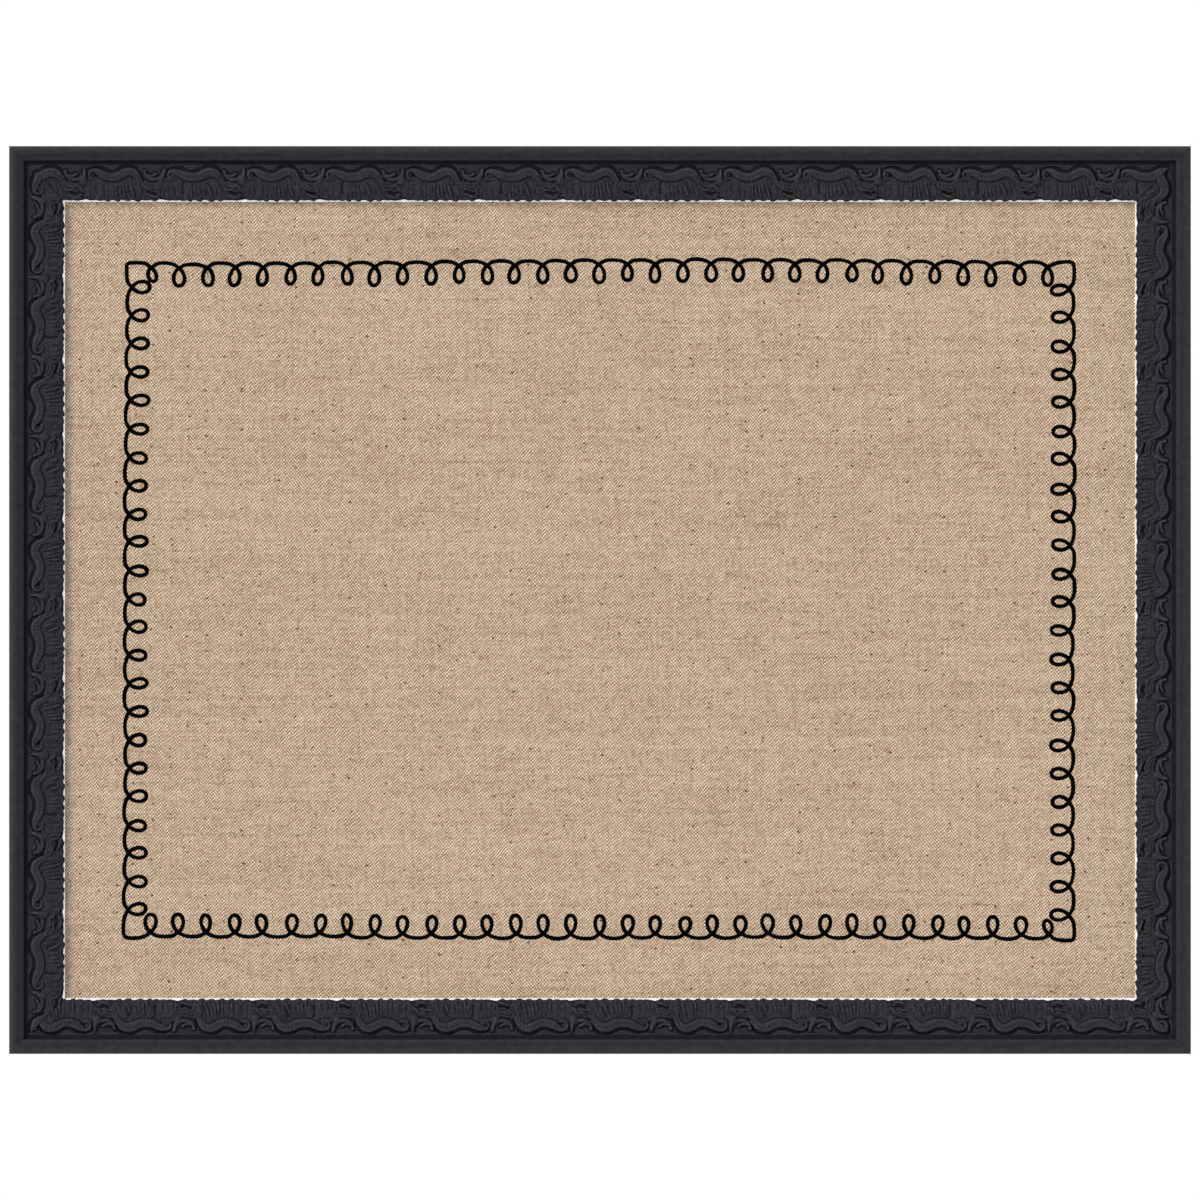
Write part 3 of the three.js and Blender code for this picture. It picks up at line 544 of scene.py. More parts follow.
class Relief:
    """One repeat of the carved field as heights over a fine grid."""

    def __init__(self):
        self.s = np.arange(0, REPEAT, FINE)
        self.u = np.arange(FIELD_START, SIGHT + 1, FINE)
        self.height = np.full((len(self.s), len(self.u)), GROUND)

    def near(self, points, reach):
        """For each grid place: how far the line is (less than zero on its outer side), and which
        of its points is nearest, counted in points from its start."""
        steps = 10
        line = catmull(points, steps)
        offset = np.full(self.height.shape, 1e3)
        along = np.zeros(self.height.shape)
        for shift in (-REPEAT, 0, REPEAT):
            moved = line + [shift, 0]
            rows = (self.s > moved[:, 0].min() - reach) & (self.s < moved[:, 0].max() + reach)
            if not rows.any():
                continue
            s = self.s[rows][:, None, None]
            u = self.u[None, :, None]
            a = moved[:-1]
            step = np.diff(moved, axis=0)
            length = np.maximum((step**2).sum(1), 1e-9)
            right, down = s - a[:, 0], u - a[:, 1]
            share = np.clip((right * step[:, 0] + down * step[:, 1]) / length, 0, 1)
            away = np.hypot(right - share * step[:, 0], down - share * step[:, 1])
            best = away.argmin(2)
            pick = (*np.indices(best.shape), best)
            side = np.where((step[:, 0] * down - step[:, 1] * right)[pick] < 0, -1, 1)
            closer = away[pick] < np.abs(offset[rows])
            offset[rows] = np.where(closer, side * away[pick], offset[rows])
            along[rows] = np.where(closer, (best + share[pick]) / steps, along[rows])
        return offset, along

    def stroke(self, points, half_widths, rise, over=GROUND, ridge=0.5):
        """A raised rib: half widths are given from its start to its end. ridge is 0.5 for a round
        section and 1 for a tent."""
        widths = np.atleast_1d(half_widths).astype(float)
        offset, along = self.near(points, widths.max() + 1)
        width = np.interp(along / (len(points) - 1), np.linspace(0, 1, len(widths)), widths)
        r = np.minimum(np.abs(offset) / width, 1)
        shape = (1 - r ** (1 / ridge)) ** ridge
        self.height = np.where(r < 1, np.maximum(self.height, over + rise * shape), self.height)

    def cut(self, points, half_width, depth):
        offset, _ = self.near(points, half_width + 1)
        self.height -= depth * np.maximum(0, 1 - (offset / half_width) ** 2)

    def scroll(self, points):
        """A wide band: a channel outside it, a bead on its outer edge, hatching, a cut inside."""
        points = np.array(points)
        offset, along = self.near(points[:, :2], points[:, 2].max() + 2.5)
        width = np.interp(along, np.arange(len(points)), points[:, 2])

        def at(values):
            return np.interp(along / (len(points) - 1), np.linspace(0, 1, len(values)), values)

        size = np.clip(width / 2.4, 0.35, 1)
        past = (offset + width) / size
        outside = past / at(CHANNEL_WIDTH)
        channel = np.interp(outside, [-1.75, -1.3, -0.5, -0.05], [0, 0.75, 0.95, 0])
        self.height -= at(CHANNEL_DEPTH) * channel
        wander = 2 * math.pi * self.s[:, None] / 1.7 + 1.2 * np.sin(self.s[:, None] * 0.6)
        lines = HATCH * np.cos(wander + 0.8 * np.sin(1.1 * self.u[None, :]))
        crest = np.interp(past, [-0.15, 0.35, 1.2, 3.4, 5.2], [0.2, 1.6, 2.05, 2.15, 2])
        crest += 0.42 * at(BEAD_HEIGHT) * np.interp(past, [0.2, 0.75, 1.1, 1.7], [0, 1, 1, 0])
        crest = np.where(past > 1.2, crest + lines, crest)
        crest *= np.clip(0.55 + 0.45 * size, 0, 1) * at(SCROLL_LEVEL)
        inside = (past > -0.15) & (offset < width)
        self.height = np.where(inside, np.maximum(self.height, GROUND + crest), self.height)
        cut = np.interp(width - offset, [-0.45, -0.05, 0.1, 0.45], [0, 1, 1, 0])
        self.height -= at(INSIDE_CUT) * cut

    def apron(self):
        line = catmull(APRON_LINE)
        start = np.interp(self.s, line[:, 0], line[:, 1])[:, None]
        u = self.u[None, :]
        rise = smoothstep(start - 0.35, start + 0.5, u)
        fall = 0.5 * smoothstep(start + 2, SIGHT, u)
        self.height = np.maximum(self.height, GROUND + (APRON - GROUND) * rise - fall * rise)

    def roughen(self):
        """The small unevenness that casting and paint leave, and fine strands down the flutes."""
        draw = np.random.default_rng(SEED + 2)
        rough = blur(draw.normal(0, 1, self.height.shape), 0.3)
        strands = blur(draw.normal(0, 1, self.height.shape), 0.26, 0.9)
        fan = smoothstep(17.5, 20.5, self.u)[None, :]
        self.height += 0.075 * rough / rough.std() + 0.13 * fan * strands / strands.std()

    def sample(self, field, s, u):
        """Field values at any places, by straight blends between grid places."""
        column = np.mod(s, REPEAT) / FINE
        row = np.clip((u - self.u[0]) / FINE, 0, len(self.u) - 1.001)
        i, j = np.floor(column).astype(int), np.floor(row).astype(int)
        a, b = np.minimum(column - i, 1), row - j
        i, after = i % len(self.s), (i + 1) % len(self.s)
        top = field[i, j] * (1 - a) + field[after, j] * a
        low = field[i, j + 1] * (1 - a) + field[after, j + 1] * a
        return top * (1 - b) + low * b


def blur(field, along, across=None):
    """A field of the relief's grid blurred by bell curves of the given sizes, wrapping along s."""
    for size, mode in ((along, "wrap"), (across or along, "edge")):
        reach = int(3 * size / FINE) + 1
        curve = np.exp(-0.5 * (np.arange(-reach, reach + 1) * FINE / size) ** 2)
        curve /= curve.sum()
        wide = np.pad(field, ((reach, reach), (0, 0)), mode=mode)
        field = sum(w * wide[i : i + len(field)] for i, w in enumerate(curve)).T
    return field


def carve_apron(relief):
    """The apron below the scrolls, with its lobes, flutes, leaves and waves."""
    relief.apron()
    draw = np.random.default_rng(SEED + 3)
    for points, width in LOBES:
        widths = [width * 0.6, width, width * 0.7][: len(points)]
        relief.stroke(points, widths, 0.5, over=GROUND + 0.55)
    for points in FLUTES:
        top, middle, foot = np.array(points)
        start = top + (middle - top) * draw.uniform(0, 0.5)
        end = middle + (foot - middle) * draw.uniform(0.2, 1)
        widths = np.array([0.45, 1, 0.6]) * draw.uniform(0.55, 1)
        rise = draw.uniform(0.35, 1.25)
        relief.stroke([start, (start + end) / 2, end], widths, rise, over=APRON - 0.2)
    for points in LEAVES:
        relief.stroke(points, [0.4, 0.8, 0.4], 1.35, over=APRON - 0.4)
    for points in WAVES:
        relief.stroke(points, [0.3, 0.4, 0.25], 0.8, over=APRON - 0.1)


def carve_scrolls(relief):
    """The scroll bands with their coils, and the bowls and spikes between them."""
    for points in SCROLLS:
        relief.scroll(points)
    for (s, u), size, rise in VOLUTE_EYES:
        relief.stroke([(s, u), (s + 0.1, u + 0.1)], [size], rise)
    for points, widths in VOLUTES:
        relief.stroke(points, widths, 2)
    for start in BOWL_STARTS:
        relief.stroke(BOWL + np.array(start), BOWL_WIDTHS, 1.65)
        relief.stroke(TONGUE + np.array(start), TONGUE_WIDTHS, 2)
    for points, widths, rise in SPIKES:
        relief.stroke(points, widths, rise, ridge=0.45)
    for start in BOWL_STARTS:
        knob = KNOB + np.array(start)
        relief.stroke([knob, knob + 0.1], [1], 2.4)
        for points, half_width, depth in BOWL_CUTS:
            relief.cut(points + np.array(start), half_width, depth)


def carved_relief():
    relief = Relief()
    carve_apron(relief)
    carve_scrolls(relief)
    for points, half_width, depth in CUTS:
        relief.cut(points, half_width, depth)
    relief.height = blur(relief.height, SOFTEN)
    relief.roughen()
    relief.height = np.maximum(relief.height, DEEPEST)
    return relief


# The plain cushion band and groove outside the carving: depth inwards, height, and tone.
# The tone column is painted light: painted highlight towards the band's outer edge, painted shade
# in the groove.
BAND = [
    (0, 16.4, 0.3), (0, 19.4, 0.5), (0.12, 20.5, 0.7), (0.6, 21.1, 0.7),
    (1.5, 21.4, 0.61), (3, 21.5, 0.54), (4.4, 21.42, 0.44), (5.4, 21.32, 0.42),
    (6.4, 21.15, 0.47), (7.4, 20.95, 0.53), (8, 20.6, 0.52), (8.3, 19.8, 0.34),
    (8.55, 18.2, 0.25), (9.2, 17.6, 0.22), (9.95, 17.6, 0.21), (10.2, 17.8, 0.28),
]

# Where a tall spike stands on each side, in millimetres from the side's middle.
SPIKE_PLACES = {"top": -198.2, "bottom": 104.1, "left": 91.2, "right": -33.4}
OUTWARD = {"top": (0, 0, 1), "bottom": (0, 0, -1), "left": (-1, 0, 0), "right": (1, 0, 0)}
RAIL_NAMES = {
    "top": "top_rail", "bottom": "bottom_rail", "left": "left_stile", "right": "right_stile",
}
COLUMN_STEP = 0.56
ROW_STEP = 0.32
FIRST_ROW = FIELD_START + 0.15
LAST_ROW = SIGHT - 0.85
WAVES_START = 26.5  # from here inwards the rows begin to follow the wavy sight edge
EDGE_GAP = 0.65  # between the last row and the sight edge
# How the carving rounds over to the sight edge: distance from it, drop, and share of its tone; the
# falling share is painted shade where the edge turns away.
EDGE_ROUND = ((0.5, 0.15, 1), (0.2, 0.45, 0.95), (0.04, 0.8, 0.7), (0, 1.1, 0.35))
LIP_LEVEL = 16.9
FRONT_BACK = 16.4  # where the carved front ends inside the side's rear part
LIP_SETBACK = 0.15


def side_frame(side):
    """Unit vectors outwards and along a side, its distance from the middle and its half length."""
    outward = np.array(OUTWARD[side], float)
    along = np.cross(outward, (0, -1, 0))
    level = side in ("top", "bottom")
    reach = (FRAME_HEIGHT if level else FRAME_WIDTH) / 2
    half_length = (FRAME_WIDTH if level else FRAME_HEIGHT) / 2
    return outward, along, reach, half_length


def sight_edge(s):
    """How far inwards the moulding's wavy inner edge lies at each place along it."""
    edge = np.full(s.shape, SIGHT + 0.02)
    for place, half_width, reach in SIGHT_EDGE:
        away = np.mod(s - place + REPEAT / 2, REPEAT) - REPEAT / 2
        edge += reach * np.maximum(0, 1 - (away / half_width) ** 2) ** 0.7
    return edge


def front_levels(side, relief, patina_and_painted_shade, share):
    """The lines that the carved front is made of: place inwards, height and tone, with each line's
    places along the side. share says how far along each of its columns lies, from -1 to 1."""
    half_length = side_frame(side)[3] / MM
    flat = np.ones(len(share))
    levels = [(flat * u, flat * v, flat * tone) for u, v, tone in BAND]
    edge = sight_edge(share * (half_length - SIGHT) - SPIKE_PLACES[side])
    rows = np.arange(FIRST_ROW, LAST_ROW, ROW_STEP)
    for u in rows:
        follow = max(0, (u - WAVES_START) / (rows[-1] - WAVES_START))
        place = u + follow * (edge - EDGE_GAP - rows[-1])
        s = share * (half_length - place) - SPIKE_PLACES[side]
        height, tone = (relief.sample(field, s, place) for field in (relief.height, patina_and_painted_shade))
        levels.append((place, height, tone))
    # The rounding edge gets darker towards the sight edge: painted shade.
    for back, drop, darker in EDGE_ROUND:
        levels.append((edge - back, np.maximum(height - drop, LIP_LEVEL), tone * darker))
    # Tone 0.1 paints the step back under the sight edge dark, as painted shade.
    levels.append((edge - LIP_SETBACK, flat * FRONT_BACK, flat * 0.1))
    return [(u, v, tone, share * (half_length - u)) for u, v, tone in levels]


def carved_front(side, relief, patina_and_painted_shade):
    """The front of one side: band, groove and carving as one dense surface closed at the back."""
    outward, along, reach, half_length = side_frame(side)
    count = int(2 * half_length / MM / COLUMN_STEP) + 1
    rows, tones, grains = [], [], []
    levels = front_levels(side, relief, patina_and_painted_shade, np.linspace(-1, 1, count))
    for u, v, tone, s in levels:
        flat = outward * (reach - u[:, None] * MM) + along * s[:, None] * MM
        rows.append(flat + np.array([0, -1, 0]) * v[:, None] * MM + MIDDLE)
        tones.append(tone)
        grains.append(np.column_stack([s, u, v]) * MM)
    last = (len(rows) - 1) * count
    faces = grid_faces(len(rows), count)
    faces += [(last + i, last + i + 1, i + 1, i) for i in range(count - 1)]
    faces.append(range(0, last + 1, count))
    faces.append(range(last + count - 1, 0, -count))
    return np.vstack(rows), faces, np.concatenate(tones), np.vstack(grains)


BODY_FRONT_Y = -16.5 * MM
LIP_TRIM_U = 29.1 * MM
REAR_TONE = 0.55
NEAR = 0.05 * MM


def rail_body(side):
    """The rear of a side as built in the frame, with its nail, point and screw holes."""
    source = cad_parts[RAIL_NAMES[side]]
    bm = bmesh.new()
    bm.from_mesh(source.data)
    bmesh.ops.remove_doubles(bm, verts=bm.verts, dist=1e-6)
    outward, _, reach, _ = side_frame(side)
    lip = outward * (reach - LIP_TRIM_U) + MIDDLE
    for place, normal in (((0, BODY_FRONT_Y, 0), (0, -1, 0)), (lip, -outward)):
        everything = bm.verts[:] + bm.edges[:] + bm.faces[:]
        bmesh.ops.bisect_plane(
            bm, geom=everything, plane_co=place, plane_no=normal, clear_outer=True, dist=1e-7
        )
        bmesh.ops.holes_fill(bm, edges=[e for e in bm.edges if e.is_boundary], sides=0)
    bmesh.ops.recalc_face_normals(bm, faces=bm.faces)
    return bm


def is_painted(face, side):
    """Whether a face of the rear belongs to the outside, the lip's edge or the front."""
    outward, _, reach, _ = side_frame(side)
    centre = np.array(face.calc_center_median()) - MIDDLE
    depth = reach - centre @ outward
    facing = np.array(face.normal) @ outward
    outside = facing > 0.9 and depth < NEAR
    lip = facing < -0.9 and depth > LIP_TRIM_U - NEAR
    return outside or lip or (face.normal.y < -0.9 and centre[1] < BODY_FRONT_Y + NEAR)


def add_rear(bm, side, tone_layer, grain_layer):
    outward, along, _, _ = side_frame(side)
    rear = rail_body(side)
    copies = {}
    for vertex in rear.verts:
        new = copies[vertex] = bm.verts.new(vertex.co)
        new[tone_layer] = REAR_TONE
        place = np.array(vertex.co) - MIDDLE
        new[grain_layer] = Vector((place @ along, place @ outward, place[1]))
    for face in rear.faces:
        new = bm.faces.new([copies[v] for v in face.verts])
        new.smooth = False
        new.material_index = 0 if is_painted(face, side) else 1
    rear.free()


def carved_side(side, relief, patina_and_painted_shade, paint, wood):
    """One finished side: the carved front joined to the rear that the frame's node gives."""
    name = RAIL_NAMES[side]
    vertices, faces, tones, grains = carved_front(side, relief, patina_and_painted_shade)
    made = piece(f"{name}_carved", vertices, faces, [paint, wood])
    bm = bmesh.new()
    bm.from_mesh(made.data)
    tone_layer = bm.verts.layers.float.new("tone")
    grain_layer = bm.verts.layers.float_vector.new("grain")
    for vertex, tone, grain in zip(bm.verts, tones, grains):
        vertex[tone_layer] = tone
        vertex[grain_layer] = Vector(grain)
    for face in bm.faces:
        face.smooth = len(face.verts) == 4
    add_rear(bm, side, tone_layer, grain_layer)
    bm.to_mesh(made.data)
    bm.free()
    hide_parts(name)


def add_carving(paint, wood):
    relief = carved_relief()
    # Tone: lighter where the carving stands proud and darker in its hollows, partly a rubbed patina
    # and partly painted highlight and painted shade.
    proud = relief.height - blur(relief.height, 0.65)
    broad = relief.height - blur(relief.height, 2.5)
    patina_and_painted_shade = 0.468 + 0.31 * np.tanh(2.1 * proud) + 0.05 * np.tanh(0.8 * broad)
    for side in OUTWARD:
        carved_side(side, relief, patina_and_painted_shade, paint, wood)


# The cloth, cut as one sheet and stretched round the panel.


CLOTH_SUNK = 0.06 * MM
CLOTH_UNEVEN = 0.025 * MM


def cloth_front(x, z):
    """Where the stretched cloth's front lies, a little uneven, for places from the middle."""
    a = np.sin(x * 61 + 1.3) * np.sin(z * 47 + 0.4)
    b = np.sin(x * 23 - z * 31 + 2.1)
    return LINEN_FRONT_Y + CLOTH_SUNK - CLOTH_UNEVEN * (a + b)


TURN_IN = 25 * MM
TURN_IN_SHARES = (0.12, 0.3, 0.6, 0.85, 1)  # where the turned-in margin has its lines
CLOTH_STEP = 6 * MM
EDGE_RADIUS = 1.2 * MM
EDGE_STEPS = 4
CLOTH_THICKNESS = 0.45 * MM
CORNER_CREASE = 1.3 * MM  # how near a corner's diagonal its extra lines of the sheet lie
CORNER_BULGE = 0.38 * MM  # how far the cloth folded under a mitred corner lifts it
BULGE_REACH = 9 * MM
RAW_EDGE_WAVER = 0.35 * MM
MARGIN_SUNK = 0.02 * MM


def cloth_lines(half):
    """Even lines across the sheet from -1 to 1, with two more close to each end."""
    even = np.linspace(-1, 1, int(2 * half / CLOTH_STEP) + 1)
    near = 1 - np.array([CORNER_CREASE, 2.4 * CORNER_CREASE]) / half
    return np.sort(np.concatenate([even, near, -near]))


def corner_lift(x, z):
    """How far a mitred corner's fold lifts the turned-in cloth: none on its diagonal seam."""
    inwards = (PANEL_HALF_WIDTH - abs(x)) - (PANEL_HALF_HEIGHT - abs(z))
    from_seam = abs(inwards) / math.sqrt(2)
    rise = CORNER_BULGE * min(1, from_seam / CORNER_CREASE)
    return rise * math.exp(-((from_seam / BULGE_REACH) ** 2))


def border_ring(columns, rows):
    """The grid's outermost places as (column, row), once round it."""
    return (
        [(i, 0) for i in range(columns)]
        + [(columns, j) for j in range(rows)]
        + [(i, rows) for i in range(columns, 0, -1)]
        + [(0, j) for j in range(rows, 0, -1)]
    )


def wrapped_edges(border):
    """Rings from the front round the panel's edge to the raw edge on its back. border has the
    places round the sheet as shares of its half width and height."""
    waver = np.random.default_rng(SEED + 4).normal(0, RAW_EDGE_WAVER, len(border))

    def ring(inset, y, waver_share=0, lifted=0):
        made = []
        for (x, z), off in zip(border, waver):
            reach = inset + off * waver_share
            px, pz = x * (PANEL_HALF_WIDTH - reach), z * (PANEL_HALF_HEIGHT - reach)
            made.append((px, y + lifted * corner_lift(px, pz), CENTRE_Z + pz))
        return made

    turns = math.pi / 2 * np.arange(EDGE_STEPS + 1) / EDGE_STEPS
    short, long = EDGE_RADIUS * (1 - np.sin(turns)), EDGE_RADIUS * (1 - np.cos(turns))
    rings = [ring(a, LINEN_FRONT_Y + b) for a, b in zip(short[1:], long[1:])]
    rings += [ring(b, LINEN_BACK_Y - a) for a, b in zip(short, long)]
    rings += [ring(TURN_IN * s, LINEN_BACK_Y - MARGIN_SUNK, s, 1) for s in TURN_IN_SHARES]
    return rings


def add_cloth(cloth):
    x, z = cloth_lines(PANEL_HALF_WIDTH), cloth_lines(PANEL_HALF_HEIGHT)
    vertices = []
    for pz in z * (PANEL_HALF_HEIGHT - EDGE_RADIUS):
        for px in x * (PANEL_HALF_WIDTH - EDGE_RADIUS):
            vertices.append((px, float(cloth_front(px, pz)), CENTRE_Z + pz))
    faces = grid_faces(len(z), len(x))
    border = border_ring(len(x) - 1, len(z) - 1)
    before = [j * len(x) + i for i, j in border]
    for points in wrapped_edges([(x[i], z[j]) for i, j in border]):
        now = list(range(len(vertices), len(vertices) + len(points)))
        vertices.extend(points)
        faces += zip(before, before[1:] + before[:1], now[1:] + now[:1], now)
        before = now
    made = piece("linen_sheet", vertices, faces, [cloth])
    solid = made.modifiers.new("thickness", "SOLIDIFY")
    solid.thickness = CLOTH_THICKNESS
    solid.offset = -1
    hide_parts("linen_cover")
    add_frays(cloth)


FRAY_SPACING = 1.5 * MM
FRAY_RADIUS = 0.15 * MM
FRAY_SIDES = 4
FRAY_STEPS = 4
FRAY_ROOT = 0.6 * MM  # how far a thread end starts under the sheet
FRAY_LENGTH = (2.2, 0.9)  # shape and scale of the lengths' spread, in millimetres
FRAY_LIFT = (0.16, 0.34)  # least and most height over the hardboard, in millimetres


def fray(start, outward, along, length, lean, bend):
    """Rings of points along one thread end, which runs inwards from its start."""
    points = []
    for way in np.linspace(0, 1, FRAY_STEPS):
        aside = (way * lean + way**2 * bend) * length
        centre = start - outward * way * (length + FRAY_ROOT) + along * aside
        thin = FRAY_RADIUS * (1 - 0.6 * way)
        for angle in 2 * math.pi * np.arange(FRAY_SIDES) / FRAY_SIDES:
            across = along * math.cos(angle) + np.array([0, math.sin(angle), 0])
            points.append(centre + thin * across)
    return points


def add_frays(cloth):
    """Loose thread ends along the sheet's raw edge, lying on the hardboard's back."""
    draw = np.random.default_rng(SEED + 5)
    vertices, faces = [], []
    half_x, half_z = PANEL_HALF_WIDTH - TURN_IN, PANEL_HALF_HEIGHT - TURN_IN
    for side in OUTWARD:
        outward, along, _, _ = side_frame(side)
        reach, half = (half_z, half_x) if side in ("top", "bottom") else (half_x, half_z)
        for place in np.arange(-half + FRAY_SPACING, half - FRAY_SPACING, FRAY_SPACING):
            place += draw.normal(0, 0.4 * MM)
            start = along * place + outward * (reach + FRAY_ROOT) + MIDDLE
            length = draw.gamma(*FRAY_LENGTH) * MM
            lean, bend = draw.normal(0, 0.25), draw.normal(0, 0.35)
            start[1] = hardboard_high.y + draw.uniform(*FRAY_LIFT) * MM
            first = len(vertices)
            vertices += fray(start, outward, along, length, lean, bend)
            faces += grid_faces(FRAY_STEPS, FRAY_SIDES, first, wrap=True)
            faces.append(range(first, first + FRAY_SIDES))
            faces.append(range(len(vertices) - 1, len(vertices) - 1 - FRAY_SIDES, -1))
    return piece("linen_frays", vertices, faces, [cloth])


# The printed border: one looped line that runs round the board, a little uneven as a hand draws
# it. All places are millimetres from the board's middle. Each side has its first and last crossing
# along the side, how many loops it has, and how far out its crossings lie at even places along it.
BORDER_SIDES = {
    "top": (-249.8, 248.9, 33, [184.9, 184.8, 185.6, 186.3, 186.9, 187, 185.9, 185.2]),
    "right": (173, -175.4, 23, [261, 261.4, 261.3, 261, 260.6, 260.6]),
    "bottom": (249.9, -250.1, 33, [186.2, 185.5, 185.3, 185.5, 185.6, 185.5, 184.8, 184.8]),
    "left": (-172.4, 174, 23, [262.4, 261.9, 262, 262, 261.4, 260.4]),
}
# The line round the corner that follows each side, as (across, up).
BORDER_CORNERS = {
    "top": [
        (251.3, 186.4), (254.7, 187.6), (259.4, 188.1), (262.2, 187.8), (263.6, 186),
        (263.8, 180.8), (263.2, 176.4),
    ],
    "right": [
        (262.8, -178.2), (263.7, -181.5), (263.8, -186), (263.2, -188.7), (261.2, -189.4),
        (257.6, -189.4), (253.8, -188.8), (251.8, -187.9),
    ],
    "bottom": [
        (-252.7, -186.7), (-256.3, -187.9), (-260.5, -188.1), (-263.6, -187.6), (-265, -185.6),
        (-265.1, -180.8), (-264.4, -176.2),
    ],
    "left": [
        (-262.6, 176.6), (-263.2, 180.4), (-263.3, 184.6), (-262.9, 186.8), (-261.1, 187.5),
        (-256.4, 187.6), (-253, 187.2), (-251.4, 186.3),
    ],
}
SMALL_LOOP = 0.8  # the first loop of the top and of the bottom
SMALL_LOOP_TILT = 0.16
LINE_WIDTH = 2.25
LOOP_LENGTH = 9.6
LOOP_WIDTH = 5.7
ARCH_RISE = 2.5
PITCH_SPREAD = 0.25
INK_STEP = 0.45
INK_LIFT = 0.02
INK_LAYER = 0.035
KNOT_SPACING = 5  # how often the line's width changes
KNOT_SPREAD = 0.045
RAGGED = 0.03
# The printed line's section: share of its half width, and how many INK_LIFTs it lies forward.
INK_SECTION = ((-1, 0), (-0.8, 1), (0.8, 1), (1, 0), (0.9, -3), (-0.9, -3))

# One loop as shares of its width and length, from its crossing round and back to it.
HALF_LOOP = [(0, 0), (0.19, 0.1), (0.37, 0.27), (0.49, 0.52), (0.45, 0.77), (0.26, 0.95)]
LOOP_SHARES = HALF_LOOP + [(0, 1)] + [(-aside, inwards) for aside, inwards in HALF_LOOP[::-1]]
# The arch to the next loop: share of the way, and of its rise.
ARCH_SHARES = [(0.1, 0.44), (0.22, 0.84), (0.42, 1), (0.62, 0.97), (0.8, 0.72), (0.91, 0.38)]


def side_points(side, draw):
    """One side's loops and arches, each point with its level in the ink from 0 to 1."""
    first, last, count, crossings = BORDER_SIDES[side]
    outward, along, _, _ = side_frame(side)
    out, run = outward[[0, 2]], along[[0, 2]] * np.sign((last - first) * (along[0] + along[2]))
    places = np.linspace(first, last, count)
    places[1:-1] += draw.normal(0, PITCH_SPREAD, count - 2)
    depths = np.interp(np.linspace(0, 1, count), np.linspace(0, 1, len(crossings)), crossings)
    points = []
    for k in range(count):
        centre = np.abs(run) * places[k] + out * (depths[k] + draw.normal(0, 0.12))
        small = k == 0 and side in ("top", "bottom")
        length = LOOP_LENGTH * (SMALL_LOOP if small else draw.normal(1, 0.035))
        width = LOOP_WIDTH * (SMALL_LOOP if small else draw.normal(1, 0.05))
        tilt = SMALL_LOOP_TILT if small else draw.normal(0, 0.04)
        for i, (aside, inwards) in enumerate(LOOP_SHARES):
            x, y = aside * width + tilt * inwards * length, inwards * length
            points.append((*(centre + run * x - out * y), i / (len(LOOP_SHARES) - 1)))
        if k == count - 1:
            continue
        gap = abs(places[k + 1] - places[k])
        rise = ARCH_RISE * draw.normal(1, 0.05)
        for way, share in ARCH_SHARES:
            y = share * rise + draw.normal(0, 0.05) + (depths[k + 1] - depths[k]) * way
            points.append((*(centre + run * way * gap + out * y), 1 - way))
    return points


def border_line():
    """The line's points across and up the board, and how high each lies in the ink from 0 to 1."""
    draw = np.random.default_rng(SEED)
    points = []
    for side, corner in BORDER_CORNERS.items():
        points += side_points(side, draw)
        for i, (across, up) in enumerate(corner):
            points.append((across, up, 1 - (i + 1) / (len(corner) + 1)))
    return np.array(points)


def add_border(ink):
    smooth = catmull(border_line(), 12, closed=True)
    ring = np.vstack([smooth, smooth[:1]])
    steps = np.linalg.norm(np.diff(ring[:, :2], axis=0), axis=1)
    total = np.concatenate([[0], np.cumsum(steps)])
    count = int(total[-1] / INK_STEP)
    even = np.arange(count) * total[-1] / count
    x, z, level = (np.interp(even, total, ring[:, i]) for i in range(3))
    tangent = np.column_stack([np.roll(a, -1) - np.roll(a, 1) for a in (x, z)])
    tangent /= np.linalg.norm(tangent, axis=1)[:, None]
    draw = np.random.default_rng(SEED + 1)
    knots = draw.normal(0, KNOT_SPREAD, int(total[-1] / KNOT_SPACING))
    knots[-1] = knots[0]
    broad = 1 + np.interp(even, np.linspace(0, total[-1], len(knots)), knots)
    rows = []
    for side, lift in INK_SECTION:
        ragged = draw.normal(0, RAGGED, count) if abs(side) == 1 else 0
        half = (LINE_WIDTH / 2 * broad + ragged) * side
        px, pz = (x - tangent[:, 1] * half) * MM, (z + tangent[:, 0] * half) * MM
        rise = (INK_LAYER * np.clip(level, 0, 1) + INK_LIFT * lift) * MM
        rows.append(np.column_stack([px, cloth_front(px, pz) - rise, pz + CENTRE_Z]))
    faces = grid_faces(len(rows) + 1, count, wrap=True)
    faces = [face % (len(rows) * count) for face in faces]
    piece("printed_border", np.vstack(rows), faces, [ink])


# The hanger's screw: a pan head with a cross recess, on a plain shank.
SCREW_HEAD_RADIUS = 3.5 * MM
SCREW_HEAD_HEIGHT = 2.2 * MM
SCREW_RIM = 0.45 * MM
SCREW_SHANK_RADIUS = 1.5 * MM
SCREW_TIP = 3 * MM
SCREW_BREAK = 0.15 * MM
RECESS_DEPTH = 1.3 * MM
RECESS_HALF_LENGTH = 1.9 * MM
RECESS_HALF_WIDTH = 0.5 * MM
RECESS_SLOPE = 0.15 * MM
SCREW_RINGS = 30
SCREW_TURNS = 96
SCREW_TURNED = 0.4  # how far round the recess stands, in radians


